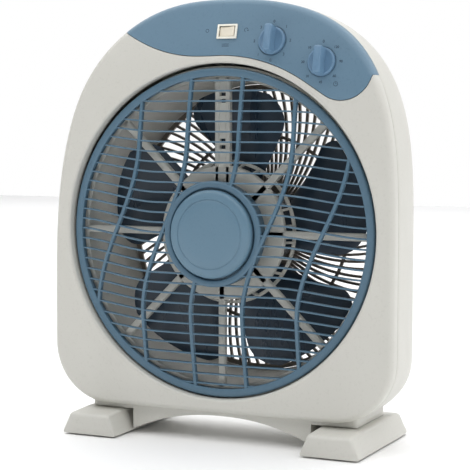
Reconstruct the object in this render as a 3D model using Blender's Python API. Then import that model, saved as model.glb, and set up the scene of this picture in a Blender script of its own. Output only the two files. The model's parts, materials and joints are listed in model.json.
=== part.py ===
"""A box fan of the 12-inch class: a moulded two-part housing on two feet, a five-blade fan wheel on its motor,
a slowly turning louver grille in front of it, and a panel with two knobs and a rocker switch.

Metres, +Z up. The front faces -Y. The origin lies on the floor under the middle of the feet.
"""

import math

import bmesh
import bpy
from mathutils import Matrix, Vector

GAP = 0.0003                  # clearance kept between neighbouring pieces

# Housing outline, seen from the front
HALF_WIDTH = 0.182
TOP_Z = 0.434
SHOULDER_Z = 0.150            # the sides are upright below this height and arch over above it
ARCH_LEFT = (2.6, 2.6)        # exponents of the superellipse left of the middle, across and up
ARCH_RIGHT = (2.3, 4.5)       # the same on the panel's side, where the shoulder is fuller
BOTTOM_Z = 0.030
CORNER_RADIUS = 0.060
BOTTOM_DRAFT = 0.3            # share of the rear shell's taper that its underside takes
OUTLINE_STEPS = 56

# Housing, from front to back
FACE_Y = -0.051
RIM_DEPTH = 0.014             # from the front face to the joint between the shells
BACK_Y = 0.063
WALL = 0.0025
LEAN_ANGLE = math.radians(15)  # the front face leans back behind the control panel
LEAN_START_Z = 0.325
LEAN_FULL_Z = 0.390

SHELL_SCREWS = ((-0.106, 0.338), (0.106, 0.338), (-0.126, 0.074), (0.126, 0.074))
POST_RADIUS = 0.0045
GRIP_Z = 0.386
INLET_XZ = (-0.100, 0.058)
INLET_RADIUS = 0.0055

# Air path
HUB_Z = 0.206
OPENING_RADIUS = 0.164
OPENING_Z = HUB_Z + 0.0015
DUCT_RADIUS = 0.156
REAR_OPENING_RADIUS = 0.148

# Louver grille
RIM_RADIUS = 0.161
RIM_WIDTH = 0.008
RIM_FRONT_Y = -0.045
RIM_BACK_Y = -0.0385
DOME = 0.015                  # how far the hub stands forward of the rim
SLAT_PITCH = 0.0174
SLAT_COUNT = 18
SLAT_HEIGHT = 0.0017
SLAT_DEPTH = 0.0042
SLAT_DROP = 0.011
RIB_SPACING = 0.055
RIB_WIDTH = 0.0034
RIB_SWING = 0.025
RIB_SWING_REACH = 0.085
LOUVER_HUB_RADIUS = 0.0515
CAP_RADIUS = 0.043

# Spider that carries the louver motor
SPIDER_FRONT_Y = -0.036
SPIDER_DEPTH = 0.005
SPIDER_ARMS = 8
ARM_WIDTH = 0.0075
WIDE_ARM_WIDTH = 0.0165
SPIDER_RADII = (0.005, 0.052, 0.066, 0.070, 0.150, 0.163)

# Fan wheel and motor
BLADE_COUNT = 5
BLADE_RADIUS = 0.141
BLADE_THICKNESS = 0.0022
BLADE_HALF_ANGLE = math.radians(25)
BLADE_RISE = 0.017
BLADE_FIRST_ANGLE = math.radians(80)
WHEEL_HUB_RADIUS = 0.040
WHEEL_FRONT_Y = -0.020
SHAFT_RADIUS = 0.004
MOTOR_RADIUS = 0.042
MOTOR_SCREW_RADIUS = 0.030
LEAD_Y = -0.0288              # the louver motor's lead runs up behind the wide arm
LEAD_LENGTH = 0.132
LEAD_RADIUS = 0.0014

# Rear grille
GRILLE_FRONT_Y = 0.0575
GRILLE_DEPTH = 0.0035
GRILLE_SPOKES = 30
GRILLE_SWIRL = math.radians(26)
GRILLE_RADII = (0.006, 0.046, 0.095, 0.0975, 0.1425, 0.1475)

# Control panel
PANEL_EDGE_RADIUS = 0.1726    # the panel's lower edge runs concentric with the opening
PANEL_DIP_X = -0.022          # lowest point of the edge's left part, which climbs to the tip as a parabola
PANEL_DIP_Z = 0.3782
PANEL_DIP_CURVE = 3.63
PANEL_TIP_X = -0.112
LOBE_X = 0.1285
LOBE_Z = 0.3655
LOBE_RADIUS = 0.031
STEP_Z = 0.358                # where the panel ends at the right side of the housing
SPEED_KNOB_XZ = (0.0551, 0.3918)
TIMER_KNOB_XZ = (0.1078, 0.3709)
ROCKER_XZ = (0.0069, 0.4016)
KNOB_RADIUS = 0.0136
KNOB_DISC = 0.005
KNOB_GRIP_WIDTH = 0.0078
KNOB_GRIP_HEIGHT = 0.0145
FRAME_SIZE = (0.0212, 0.0146)
ROCKER_SIZE = (0.0160, 0.0098)
ROCKER_TILT = math.radians(7)
ROCKER_PIVOT_DEPTH = 0.0020   # the rocker's pin, behind the panel's face
ROCKER_UNDERCUT = 0.0016

# Base
FOOT_LENGTH = 0.150
FOOT_X = 0.1285               # middle of a foot
FOOT_HALF_BOTTOM = 0.0295
FOOT_HALF_TOP = 0.0215
FOOT_BOTTOM_Z = 0.0018
FOOT_TOP_Z = 0.0245
BRIDGE_HALF_DEPTH = 0.040
BRIDGE_HALF_WIDTH = 0.143
ARCH_HALF_SPAN = 0.0965
FOOT_SCREWS = ((-0.128, -0.020), (-0.128, 0.020), (0.128, -0.020), (0.128, 0.020))
FOOT_POCKET = 0.046           # half length of the hollow under a foot
PAD_RADIUS = 0.007
PAD_HEIGHT = 0.0015

HUB = Vector((0.0, 0.0, HUB_Z))


# ---------------------------------------------------------------- materials

def material(name, colour, roughness, metallic=0.0):
    """A Principled material, made once for each name."""
    found = bpy.data.materials.get(name)
    if found:
        return found
    made = bpy.data.materials.new(name)
    made.use_nodes = True
    shader = made.node_tree.nodes["Principled BSDF"]
    shader.inputs["Base Color"].default_value = (*colour, 1.0)
    shader.inputs["Roughness"].default_value = roughness
    shader.inputs["Metallic"].default_value = metallic
    return made


def housing_plastic():
    return material("housing_plastic", (0.66, 0.66, 0.63), 0.42)


def blue_plastic():
    return material("blue_plastic", (0.13, 0.26, 0.36), 0.38)


def blade_plastic():
    return material("blade_plastic", (0.03, 0.06, 0.10), 0.35)


def ivory_plastic():
    return material("ivory_plastic", (0.80, 0.78, 0.68), 0.35)


def dark_plastic():
    return material("dark_plastic", (0.03, 0.03, 0.03), 0.5)


def steel():
    return material("steel", (0.55, 0.55, 0.56), 0.3, 1.0)


def copper():
    return material("copper", (0.70, 0.30, 0.14), 0.35, 1.0)


def bronze():
    return material("bronze", (0.55, 0.38, 0.18), 0.4, 1.0)


def rubber():
    return material("rubber", (0.04, 0.04, 0.04), 0.8)


# ---------------------------------------------------------------- mesh tools

def clear_scene():
    for existing in list(bpy.data.objects):
        bpy.data.objects.remove(existing, do_unlink=True)


def finish_mesh(name, bm, surface, location=(0.0, 0.0, 0.0), smooth_angle=30.0):
    """Turns a bmesh into a named object with its faces out."""
    bmesh.ops.recalc_face_normals(bm, faces=bm.faces)
    mesh = bpy.data.meshes.new(name)
    bm.to_mesh(mesh)
    bm.free()
    mesh.materials.append(surface)
    mesh.shade_smooth()
    mesh.set_sharp_from_angle(angle=math.radians(smooth_angle))
    made = bpy.data.objects.new(name, mesh)
    made.location = location
    bpy.context.scene.collection.objects.link(made)
    return made


def add_loft(bm, rings, closed):
    """Joins rings of equal length. A closed loft meets its own start; an open one gets a cap at each end."""
    rows = [[bm.verts.new(point) for point in ring] for ring in rings]
    pairs = list(zip(rows, rows[1:]))
    if closed:
        pairs.append((rows[-1], rows[0]))
    else:
        bm.faces.new(rows[0])
        bm.faces.new(rows[-1])
    for first, second in pairs:
        for i in range(len(first)):
            j = (i + 1) % len(first)
            bm.faces.new((first[i], first[j], second[j], second[i]))


def lofted(name, rings, surface, closed=False, location=(0.0, 0.0, 0.0)):
    bm = bmesh.new()
    add_loft(bm, rings, closed)
    return finish_mesh(name, bm, surface, location)


def circle(radius, y, steps, centre=(0.0, 0.0)):
    """Points round the Y direction, in the XZ plane."""
    turns = [2 * math.pi * i / steps for i in range(steps)]
    return [Vector((centre[0] + radius * math.cos(a), y, centre[1] + radius * math.sin(a))) for a in turns]


def turned(name, profile, surface, location, steps=32, hollow=False):
    """A turned piece round its own Y axis, from (radius, y) pairs. A hollow one has a hole down its middle."""
    rings = [circle(radius, y, steps) for radius, y in profile]
    return lofted(name, rings, surface, hollow, location)


def prism(name, outline, y_front, y_back, surface):
    """An outline of (x, z) pairs, extruded along Y."""
    rings = [[Vector((x, y, z)) for x, z in outline] for y in (y_front, y_back)]
    return lofted(name, rings, surface)


def block(name, size, location, surface, bevel=0.0, turn=None):
    """A box with its scale applied, and its edges rounded where a bevel is given."""
    bm = bmesh.new()
    bmesh.ops.create_cube(bm, size=1.0, matrix=Matrix.Diagonal((*size, 1.0)))
    if bevel:
        bmesh.ops.bevel(bm, geom=bm.edges[:], offset=bevel, segments=2, affect="EDGES", profile=0.5)
    made = finish_mesh(name, bm, surface, location)
    if turn:
        made.rotation_euler = turn
    return made


def add_cells(bm, point, filled, rows, columns, wraps):
    """A pierced plate on a grid: each filled cell gets a front and a back, and a wall beside each empty one.

    point(i, j, side) gives a corner and filled(i, j) says which cells are solid."""
    verts = {}

    def vert(i, j, side):
        key = (i, j % columns if wraps else j, side)
        if key not in verts:
            verts[key] = bm.verts.new(point(*key))
        return verts[key]

    def solid(i, j):
        if not 0 <= i < rows:
            return False
        if wraps:
            return filled(i, j % columns)
        return 0 <= j < columns and filled(i, j)

    for i in range(rows):
        for j in range(columns):
            if not solid(i, j):
                continue
            corners = ((i, j), (i, j + 1), (i + 1, j + 1), (i + 1, j))
            bm.faces.new([vert(*corner, 0) for corner in corners])
            bm.faces.new([vert(*corner, 1) for corner in reversed(corners)])
            beside = ((i - 1, j), (i, j + 1), (i + 1, j), (i, j - 1))
            for k, (row, column) in enumerate(beside):
                if not solid(row, column):
                    a = corners[k]
                    b = corners[(k + 1) % 4]
                    bm.faces.new((vert(*b, 0), vert(*a, 0), vert(*a, 1), vert(*b, 1)))


def boolean(target, tool, operation):
    """Adds a Boolean modifier and hides its tool."""
    modifier = target.modifiers.new(tool.name, "BOOLEAN")
    modifier.operation = operation
    modifier.object = tool
    tool.hide_render = True
    tool.display_type = "WIRE"


# ---------------------------------------------------------------- housing outline

def lean(z):
    """How far the front face has leaned back at a height."""
    span = LEAN_FULL_Z - LEAN_START_Z
    rise = min(max(z - LEAN_START_Z, 0.0), span)
    return math.tan(LEAN_ANGLE) * (rise * rise / (2 * span) + max(z - LEAN_FULL_Z, 0.0))


def lean_angle(z):
    share = min(max((z - LEAN_START_Z) / (LEAN_FULL_Z - LEAN_START_Z), 0.0), 1.0)
    return math.atan(math.tan(LEAN_ANGLE) * share)


def in_outline(x, z, inset, low):
    half = HALF_WIDTH - inset
    across, up = ARCH_RIGHT if x > 0.0 else ARCH_LEFT
    x = abs(x)
    if z >= SHOULDER_Z:
        height = TOP_Z - inset - SHOULDER_Z
        return (x / half) ** across + ((z - SHOULDER_Z) / height) ** up <= 1.0
    radius = CORNER_RADIUS - inset
    dx = x - (half - radius)
    dz = low + radius - z
    if dx > 0.0 and dz > 0.0:
        return math.hypot(dx, dz) <= radius
    return x <= half and z >= low


def outline_reach(angle, inset, low):
    """Distance from the hub's axis to the outline in one direction."""
    inside = 0.0
    outside = 0.35
    for _ in range(30):
        middle = (inside + outside) / 2
        if in_outline(middle * math.cos(angle), HUB_Z + middle * math.sin(angle), inset, low):
            inside = middle
        else:
            outside = middle
    return inside


def outline_ring(inset, y, share, rise=None):
    """The housing outline, moved in by inset, its underside up by rise, and back by a share of the lean."""
    low = BOTTOM_Z + (inset if rise is None else rise)
    ring = []
    for i in range(OUTLINE_STEPS):
        angle = 2 * math.pi * i / OUTLINE_STEPS
        reach = outline_reach(angle, inset, low)
        z = HUB_Z + reach * math.sin(angle)
        ring.append(Vector((reach * math.cos(angle), y + share * lean(z), z)))
    return ring


def opening_ring(radius, y, share):
    ring = circle(radius, y, OUTLINE_STEPS, (0.0, OPENING_Z))
    return [Vector((p.x, p.y + share * lean(p.z), p.z)) for p in ring]


def housing_bottom(x):
    """Height of the housing's underside."""
    dx = abs(x) - (HALF_WIDTH - CORNER_RADIUS)
    if dx <= 0.0:
        return BOTTOM_Z
    return BOTTOM_Z + CORNER_RADIUS - math.sqrt(CORNER_RADIUS ** 2 - dx ** 2)


# ---------------------------------------------------------------- shells and panel

def front_rim():
    """(inset, y) of the front shell's skin, from the joint round the edge to the flat face."""
    return ((0.0, FACE_Y + RIM_DEPTH), (0.0004, FACE_Y + 0.006), (0.0016, FACE_Y + 0.0022),
            (0.0034, FACE_Y + 0.0006), (0.0060, FACE_Y))


def rim_back():
    """(inset, y) of the inner side of the same skin, from the face to the joint."""
    return ((0.0070, FACE_Y + WALL), (WALL + 0.0006, FACE_Y + 0.006), (WALL, FACE_Y + RIM_DEPTH))


def panel_edge(shift):
    """The lower edge of the control panel, moved outwards from the panel by shift."""
    points = []
    for i in range(7):
        x = PANEL_TIP_X + (-0.012 - PANEL_TIP_X) * i / 6
        points.append((x, PANEL_DIP_Z + PANEL_DIP_CURVE * min(x - PANEL_DIP_X, 0.0) ** 2 - shift))
    radius = PANEL_EDGE_RADIUS - shift
    for i in range(7):
        angle = math.radians(90 - 33 * i / 6)
        points.append((radius * math.cos(angle), HUB_Z + radius * math.sin(angle)))
    radius = LOBE_RADIUS + shift
    for i in range(11):
        angle = math.radians(234 + 112 * i / 10)
        points.append((LOBE_X + radius * math.cos(angle), LOBE_Z + radius * math.sin(angle)))
    return points


def panel_prism(name, shift):
    """A tool that covers everything the control panel takes from the front of the housing."""
    outline = panel_edge(shift)
    outline += [(0.21, STEP_Z - shift), (0.21, 0.46), (-0.15, 0.46)]
    return prism(name, outline, -0.08, 0.01, dark_plastic())


def front_shell():
    rings = [outline_ring(inset, y, 1.0) for inset, y in front_rim()]
    lip = ((0.1680, 0.0), (0.1655, 0.0010), (OPENING_RADIUS, 0.0032), (OPENING_RADIUS, 0.0115),
           (OPENING_RADIUS + WALL, 0.0115), (OPENING_RADIUS + WALL, WALL + 0.0012))
    rings += [opening_ring(radius, FACE_Y + depth, 1.0) for radius, depth in lip]
    rings += [outline_ring(inset, y, 1.0) for inset, y in rim_back()]
    shell = lofted("front_shell", rings, housing_plastic(), True)
    boolean(shell, panel_prism("panel_cutout_tool", GAP / 2), "DIFFERENCE")
    boolean(shell, shell_posts(), "UNION")
    boolean(shell, bores("post_holes_tool", SHELL_SCREWS, 0.0021, 0.048, 0.070, 10), "DIFFERENCE")
    return shell


def panel_skin():
    rings = [outline_ring(inset, y, 1.0) for inset, y in front_rim()]
    rings += [opening_ring(0.169, FACE_Y, 1.0), opening_ring(0.169, FACE_Y + WALL, 1.0)]
    rings += [outline_ring(inset, y, 1.0) for inset, y in rim_back()]
    return lofted("control_panel", rings, blue_plastic(), True)


def panel_frame(x, z):
    """The matrix of a control on the panel: its own -Y points straight out of the face there."""
    origin = Vector((x, FACE_Y + lean(z), z))
    return Matrix.Translation(origin) @ Matrix.Rotation(-lean_angle(z), 4, "X")


def place(thing, matrix):
    thing.matrix_world = matrix
    return thing


def control_panel():
    panel = panel_skin()
    boolean(panel, panel_prism("panel_shape_tool", -GAP / 2), "INTERSECT")
    for name, (x, z) in (("speed_hole_tool", SPEED_KNOB_XZ), ("timer_hole_tool", TIMER_KNOB_XZ)):
        hole = turned(name, ((0.0045, -0.01), (0.0045, 0.012)), dark_plastic(), (0.0, 0.0, 0.0), 16)
        boolean(panel, place(hole, panel_frame(x, z)), "DIFFERENCE")
    window = block("rocker_window_tool", (FRAME_SIZE[0] - 0.002, 0.02, FRAME_SIZE[1] - 0.002),
                   (0.0, 0.0, 0.0), dark_plastic())
    boolean(panel, place(window, panel_frame(*ROCKER_XZ)), "DIFFERENCE")
    return panel


def shell_posts():
    """Screw posts from the front shell back to the rear wall, as one tool of separate cylinders."""
    bm = bmesh.new()
    for x, z in SHELL_SCREWS:
        add_loft(bm, [circle(POST_RADIUS, y, 12, (x, z)) for y in (FACE_Y + 0.001, BACK_Y - WALL - GAP)], False)
    return finish_mesh("shell_posts_tool", bm, housing_plastic())


def bores(name, spots, radius, y_front, y_back, steps=12):
    """Straight holes along Y at (x, z) spots, as one cutting tool."""
    bm = bmesh.new()
    for spot in spots:
        add_loft(bm, [circle(radius, y, steps, spot) for y in (y_front, y_back)], False)
    return finish_mesh(name, bm, dark_plastic())


def rear_shell():
    joint = FACE_Y + RIM_DEPTH + GAP
    skin = ((0.0, joint, 1.0), (0.0014, 0.0, 0.55), (0.0040, 0.019, 0.3), (0.0085, 0.033, 0.15),
            (0.0150, 0.0475, 0.05), (0.0225, 0.0585, 0.0), (0.0320, BACK_Y, 0.0))
    rings = [outline_ring(inset, y, share, BOTTOM_DRAFT * inset) for inset, y, share in skin]
    spider_back = SPIDER_FRONT_Y + SPIDER_DEPTH + GAP
    duct = ((REAR_OPENING_RADIUS, BACK_Y), (REAR_OPENING_RADIUS, 0.0565), (DUCT_RADIUS, 0.040),
            (DUCT_RADIUS, spider_back), (DUCT_RADIUS + WALL, spider_back), (DUCT_RADIUS + WALL, 0.041),
            (REAR_OPENING_RADIUS + WALL, BACK_Y - WALL))
    rings += [circle(radius, y, OUTLINE_STEPS, (0.0, HUB_Z)) for radius, y in duct]
    inner = ((0.0325, 0.0605, 0.0), (0.0235, 0.0565, 0.0), (0.0109 + WALL, 0.0400, 0.1), (0.0065, 0.0186, 0.3),
             (0.0039, 0.0, 0.55), (WALL, joint, 1.0))
    rings += [outline_ring(inset, y, share, WALL + BOTTOM_DRAFT * (inset - WALL)) for inset, y, share in inner]
    shell = lofted("rear_shell", rings, housing_plastic(), True)
    tray = block("grip_tray_tool", (0.106, 0.0445, 0.028), (0.0, 0.03875, GRIP_Z), housing_plastic())
    boolean(shell, tray, "UNION")
    pocket = block("grip_pocket_tool", (0.100, 0.060, 0.022), (0.0, 0.0510, GRIP_Z), dark_plastic(), 0.004)
    boolean(shell, pocket, "DIFFERENCE")
    boolean(shell, bores("shell_screw_holes_tool", SHELL_SCREWS, 0.0023, 0.050, 0.070), "DIFFERENCE")
    boolean(shell, bores("inlet_hole_tool", [INLET_XZ], INLET_RADIUS + GAP, 0.050, 0.070, 16), "DIFFERENCE")
    return shell


def cord_inlet():
    """A grommet in the rear wall with a flange on each side of it, open down its middle."""
    flange = INLET_RADIUS + 0.002
    outside = BACK_Y + GAP
    inside = BACK_Y - WALL - GAP
    profile = ((0.0034, outside + 0.0018), (flange, outside + 0.0018), (flange, outside), (INLET_RADIUS, outside),
               (INLET_RADIUS, inside), (flange, inside), (flange, inside - 0.0018), (0.0034, inside - 0.0018))
    return turned("cord_inlet", profile, rubber(), (INLET_XZ[0], 0.0, INLET_XZ[1]), 16, True)


# ---------------------------------------------------------------- louver grille

def dome(radius):
    """How far the louver grille stands forward of its rim at a radius."""
    inner = LOUVER_HUB_RADIUS
    outer = RIM_RADIUS - RIM_WIDTH
    share = min(max(radius, inner), outer)
    return DOME * (1.0 - (share / outer) ** 2) / (1.0 - (inner / outer) ** 2)


def rib_x(index, z):
    """Where an S-shaped rib stands at a height above the hub."""
    reach = min(max(z / RIB_SWING_REACH, -1.0), 1.0)
    return index * RIB_SPACING + RIB_SWING * math.sin(reach * math.pi / 2)


def slat_z(level, x):
    """Height of a slat above the hub: its left part rises and its right part falls away from the middle."""
    outward = min(max((abs(x) - 0.062) / 0.095, 0.0), 1.0)
    fade = max(math.cos(level / 0.165 * math.pi / 2), 0.0)
    return level - math.copysign(SLAT_DROP * outward * outward * (3 - 2 * outward) * fade, x)


def louver_lattice():
    """Slats and ribs as one pierced plate, wider than the rim."""
    levels = []
    for k in range(SLAT_COUNT):
        level = (k - (SLAT_COUNT - 1) / 2) * SLAT_PITCH
        levels += [level - SLAT_HEIGHT / 2, level + SLAT_HEIGHT / 2]
    edges = [(-3.2, 0.0)]
    for index in (-2, -1, 0, 1, 2):
        edges += [(index, -RIB_WIDTH / 2), (index, RIB_WIDTH / 2)]
    edges += [(3.2, 0.0)]

    def corner(i, j, side):
        index, shift = edges[j]
        x = rib_x(index, levels[i]) + shift
        return Vector((x, RIM_FRONT_Y + 0.001 + side * SLAT_DEPTH, slat_z(levels[i], x)))

    def filled(i, j):
        return i % 2 == 0 or j % 2 == 1

    bm = bmesh.new()
    add_cells(bm, corner, filled, len(levels) - 1, len(edges) - 1, False)
    return bm


def bulge(thing):
    """Moves each point of a flat grille forward on to its dome."""
    graph = bpy.context.evaluated_depsgraph_get()
    evaluated = thing.evaluated_get(graph)
    bm = bmesh.new()
    bm.from_mesh(evaluated.to_mesh())
    evaluated.to_mesh_clear()
    for vert in bm.verts:
        vert.co.y -= dome(math.hypot(vert.co.x, vert.co.z))
    return bm


def louver_grille():
    inner = RIM_RADIUS - RIM_WIDTH
    flat = finish_mesh("louver_flat", louver_lattice(), blue_plastic())
    disc = turned("louver_disc_tool", ((RIM_RADIUS - 0.003, -0.08), (RIM_RADIUS - 0.003, 0.0)), blue_plastic(),
                  (0.0, 0.0, 0.0), 48)
    rim = turned("louver_rim_tool",
                 ((inner, RIM_FRONT_Y), (RIM_RADIUS - 0.001, RIM_FRONT_Y), (RIM_RADIUS, RIM_FRONT_Y + 0.001),
                  (RIM_RADIUS, RIM_BACK_Y), (inner, RIM_BACK_Y)),
                 blue_plastic(), (0.0, 0.0, 0.0), 48, True)
    skirt = LOUVER_HUB_RADIUS
    hub_solid = turned("louver_hub_tool", ((skirt - 0.0005, RIM_FRONT_Y), (skirt - 0.0005, RIM_FRONT_Y + 0.013)),
                       blue_plastic(), (0.0, 0.0, 0.0), 32)
    hub_hollow = turned("louver_hollow_tool", ((skirt - 0.003, RIM_FRONT_Y + 0.003), (skirt - 0.003, 0.0)),
                        blue_plastic(), (0.0, 0.0, 0.0), 32)
    shaft_hole = turned("louver_bore_tool", ((0.0028, -0.08), (0.0028, 0.0)), blue_plastic(), (0.0, 0.0, 0.0), 16)
    boolean(flat, disc, "INTERSECT")
    boolean(flat, rim, "UNION")
    boolean(flat, hub_solid, "UNION")
    boolean(flat, hub_hollow, "DIFFERENCE")
    boolean(flat, shaft_hole, "DIFFERENCE")
    bm = bulge(flat)
    flat.hide_render = True
    flat.display_type = "WIRE"
    return finish_mesh("louver_grille", bm, blue_plastic(), HUB)


def louver_cap():
    front = RIM_FRONT_Y - DOME
    rise = 0.0055
    profile = ((CAP_RADIUS, front - GAP), (CAP_RADIUS, front - 0.003), (CAP_RADIUS - 0.003, front - rise),
               (0.034, front - rise - 0.0008), (0.033, front - rise), (0.015, front - rise - 0.0012),
               (0.004, front - rise - 0.0016))
    return turned("louver_cap", profile, blue_plastic(), HUB, 28)


def louver_motor():
    front = -0.0505
    back = SPIDER_FRONT_Y - GAP
    profile = ((0.005, front - 0.002), (0.005, front), (0.024, front), (0.024, back))
    return turned("louver_motor", profile, steel(), HUB, 24)


def louver_shaft():
    return turned("louver_shaft", ((0.0025, -0.0596), (0.0025, -0.0528)), steel(), HUB, 16)


# ---------------------------------------------------------------- spider and rear grille

def arm_half_width(arm):
    return (WIDE_ARM_WIDTH if arm == 2 else ARM_WIDTH) / 2


def spider():
    """Centre disc, slotted ring, eight arms and outer ring in one moulding."""
    between = 4

    def corner(i, j, side):
        arm, place_in_arm = divmod(j, between + 1)
        radius = SPIDER_RADII[i]
        middle = 2 * math.pi * arm / SPIDER_ARMS
        half = math.asin(min(arm_half_width(arm) / radius, 0.7))
        following = math.asin(min(arm_half_width((arm + 1) % SPIDER_ARMS) / radius, 0.7))
        if place_in_arm == 0:
            angle = middle - half
        else:
            start = middle + half
            end = middle + 2 * math.pi / SPIDER_ARMS - following
            angle = start + (end - start) * (place_in_arm - 1) / between
        y = SPIDER_FRONT_Y + side * SPIDER_DEPTH
        return Vector((radius * math.cos(angle), y, radius * math.sin(angle)))

    def filled(i, j):
        return i in (0, 2, 4) or j % (between + 1) == 0

    bm = bmesh.new()
    add_cells(bm, corner, filled, len(SPIDER_RADII) - 1, SPIDER_ARMS * (between + 1), True)
    return finish_mesh("front_spider", bm, housing_plastic(), HUB)


def rear_grille():
    """Swirled spokes between rings, round a plate that carries the motor."""
    def corner(i, j, side):
        radius = GRILLE_RADII[i]
        spoke, edge = divmod(j, 2)
        half = 0.0011 / max(radius, 0.03)
        swirl = GRILLE_SWIRL * (radius - GRILLE_RADII[1]) / GRILLE_RADII[-1]
        angle = 2 * math.pi * spoke / GRILLE_SPOKES + swirl + (half if edge else -half)
        y = GRILLE_FRONT_Y + side * GRILLE_DEPTH
        return Vector((radius * math.cos(angle), y, radius * math.sin(angle)))

    def filled(i, j):
        return i % 2 == 0 or j % 2 == 0

    bm = bmesh.new()
    add_cells(bm, corner, filled, len(GRILLE_RADII) - 1, GRILLE_SPOKES * 2, True)
    grille = finish_mesh("rear_grille", bm, housing_plastic(), HUB)
    boolean(grille, bores("plate_screw_holes_tool", motor_screw_spots(), 0.0018, 0.050, 0.070, 8), "DIFFERENCE")
    return grille


# ---------------------------------------------------------------- fan wheel and motor

def blade_point(root_angle, along, across, side):
    """A point of one blade: along runs from hub to tip, across from the trailing to the leading edge."""
    radius = WHEEL_HUB_RADIUS - 0.002 + (BLADE_RADIUS - WHEEL_HUB_RADIUS + 0.002) * along
    tip = max(along - 0.72, 0.0) / 0.28
    half = BLADE_HALF_ANGLE * (0.86 + 0.30 * along) * math.sqrt(1.0 - 0.62 * tip * tip)
    angle = root_angle + 0.22 * along + across * half
    rise = BLADE_RISE * (1.05 - 0.40 * along) * across + 0.004 * across * across
    return Vector((radius * math.cos(angle), rise + (side - 0.5) * BLADE_THICKNESS, radius * math.sin(angle)))


def add_blade(bm, root_angle):
    rows = 5
    columns = 4

    def corner(i, j, side):
        return blade_point(root_angle, i / rows, 2 * j / columns - 1, side)

    add_cells(bm, corner, lambda i, j: True, rows, columns, False)


def fan_blade():
    front = WHEEL_FRONT_Y
    bore = SHAFT_RADIUS + GAP
    profile = ((bore, front), (WHEEL_HUB_RADIUS - 0.004, front), (WHEEL_HUB_RADIUS, front + 0.004),
               (WHEEL_HUB_RADIUS, 0.0185), (WHEEL_HUB_RADIUS - 0.003, 0.0185), (WHEEL_HUB_RADIUS - 0.003, front + 0.005),
               (0.010, front + 0.004), (0.010, 0.012), (bore, 0.012))
    wheel = turned("fan_blade", profile, blade_plastic(), HUB, 30, True)
    bm = bmesh.new()
    for k in range(BLADE_COUNT):
        add_blade(bm, BLADE_FIRST_ANGLE + 2 * math.pi * k / BLADE_COUNT)
    blades = finish_mesh("blades_tool", bm, blade_plastic(), HUB)
    boolean(wheel, blades, "UNION")
    return wheel


def blade_nut():
    front = WHEEL_FRONT_Y
    profile = ((SHAFT_RADIUS + GAP, front - 0.0068), (SHAFT_RADIUS + GAP, front - GAP), (0.0130, front - GAP),
               (0.0130, front - 0.0045), (0.0095, front - 0.0085), (0.0035, front - 0.0100))
    return turned("blade_nut", profile, blade_plastic(), HUB, 24)


def motor_bell(name, rim, back, sign):
    """A cup round one end of the motor, open towards the stator."""
    hole = 0.0080 + GAP
    profile = ((hole, back), (MOTOR_RADIUS - 0.006, back), (MOTOR_RADIUS, back - sign * 0.006), (MOTOR_RADIUS, rim),
               (MOTOR_RADIUS - 0.002, rim), (MOTOR_RADIUS - 0.002, back - sign * 0.007),
               (MOTOR_RADIUS - 0.008, back - sign * 0.002), (hole, back - sign * 0.002))
    return turned(name, profile, steel(), HUB, 20, True)


def ring_part(name, inner, outer, y_front, y_back, surface, steps=20):
    profile = ((inner, y_front), (outer, y_front), (outer, y_back), (inner, y_back))
    return turned(name, profile, surface, HUB, steps, True)


def motor():
    """Everything of the main motor, as {name: object}."""
    front = 0.0210
    back = 0.0570
    rear_bell = motor_bell("motor_rear_bell", 0.0450, back, 1)
    boolean(rear_bell, bores("bell_screw_holes_tool", motor_screw_spots(), 0.0018, 0.050, 0.060, 8), "DIFFERENCE")
    made = [
        motor_bell("motor_front_bell", 0.0330, front, -1),
        rear_bell,
        ring_part("stator", 0.0240, 0.0415, 0.0330 + GAP, 0.0450 - GAP, steel()),
        ring_part("front_winding", 0.0260, 0.0370, 0.0265, 0.0330, copper()),
        ring_part("rear_winding", 0.0260, 0.0370, 0.0450, 0.0515, copper()),
        ring_part("rotor", SHAFT_RADIUS + GAP, 0.0235, 0.0305, 0.0475, steel()),
        ring_part("front_bush", SHAFT_RADIUS + GAP, 0.0080, front, front + 0.007, bronze(), 14),
        ring_part("rear_bush", SHAFT_RADIUS + GAP, 0.0080, back - 0.007, back, bronze(), 14),
        turned("motor_shaft", ((SHAFT_RADIUS, -0.0262), (SHAFT_RADIUS, 0.0572)), steel(), HUB, 16),
    ]
    return {piece.name: piece for piece in made}


# ---------------------------------------------------------------- controls

def knob(name, xz):
    """A disc with a raised grip bar, on the joint axis of its switch."""
    disc = turned(name, ((KNOB_RADIUS, -GAP), (KNOB_RADIUS, 0.0012 - KNOB_DISC), (KNOB_RADIUS - 0.0012, -KNOB_DISC)),
                  blue_plastic(), (0.0, 0.0, 0.0), 32)
    height = KNOB_GRIP_HEIGHT - 0.001
    bar = block(name + "_grip_tool", (KNOB_GRIP_WIDTH, height, 2 * KNOB_RADIUS - 0.0016),
                (0.0, 0.0, 0.0), blue_plastic(), 0.0014)
    matrix = panel_frame(*xz)
    place(bar, matrix @ Matrix.Translation((0.0, -0.001 - height / 2, 0.0)))
    boolean(disc, bar, "UNION")
    return place(disc, matrix)


def stem(name, xz):
    """The switch stem that the knob is pushed onto, short of the knob's underside."""
    made = turned(name, ((0.0035, 0.0), (0.0035, 0.0084)), steel(), (0.0, 0.0, 0.0), 16)
    return place(made, panel_frame(*xz))


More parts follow.
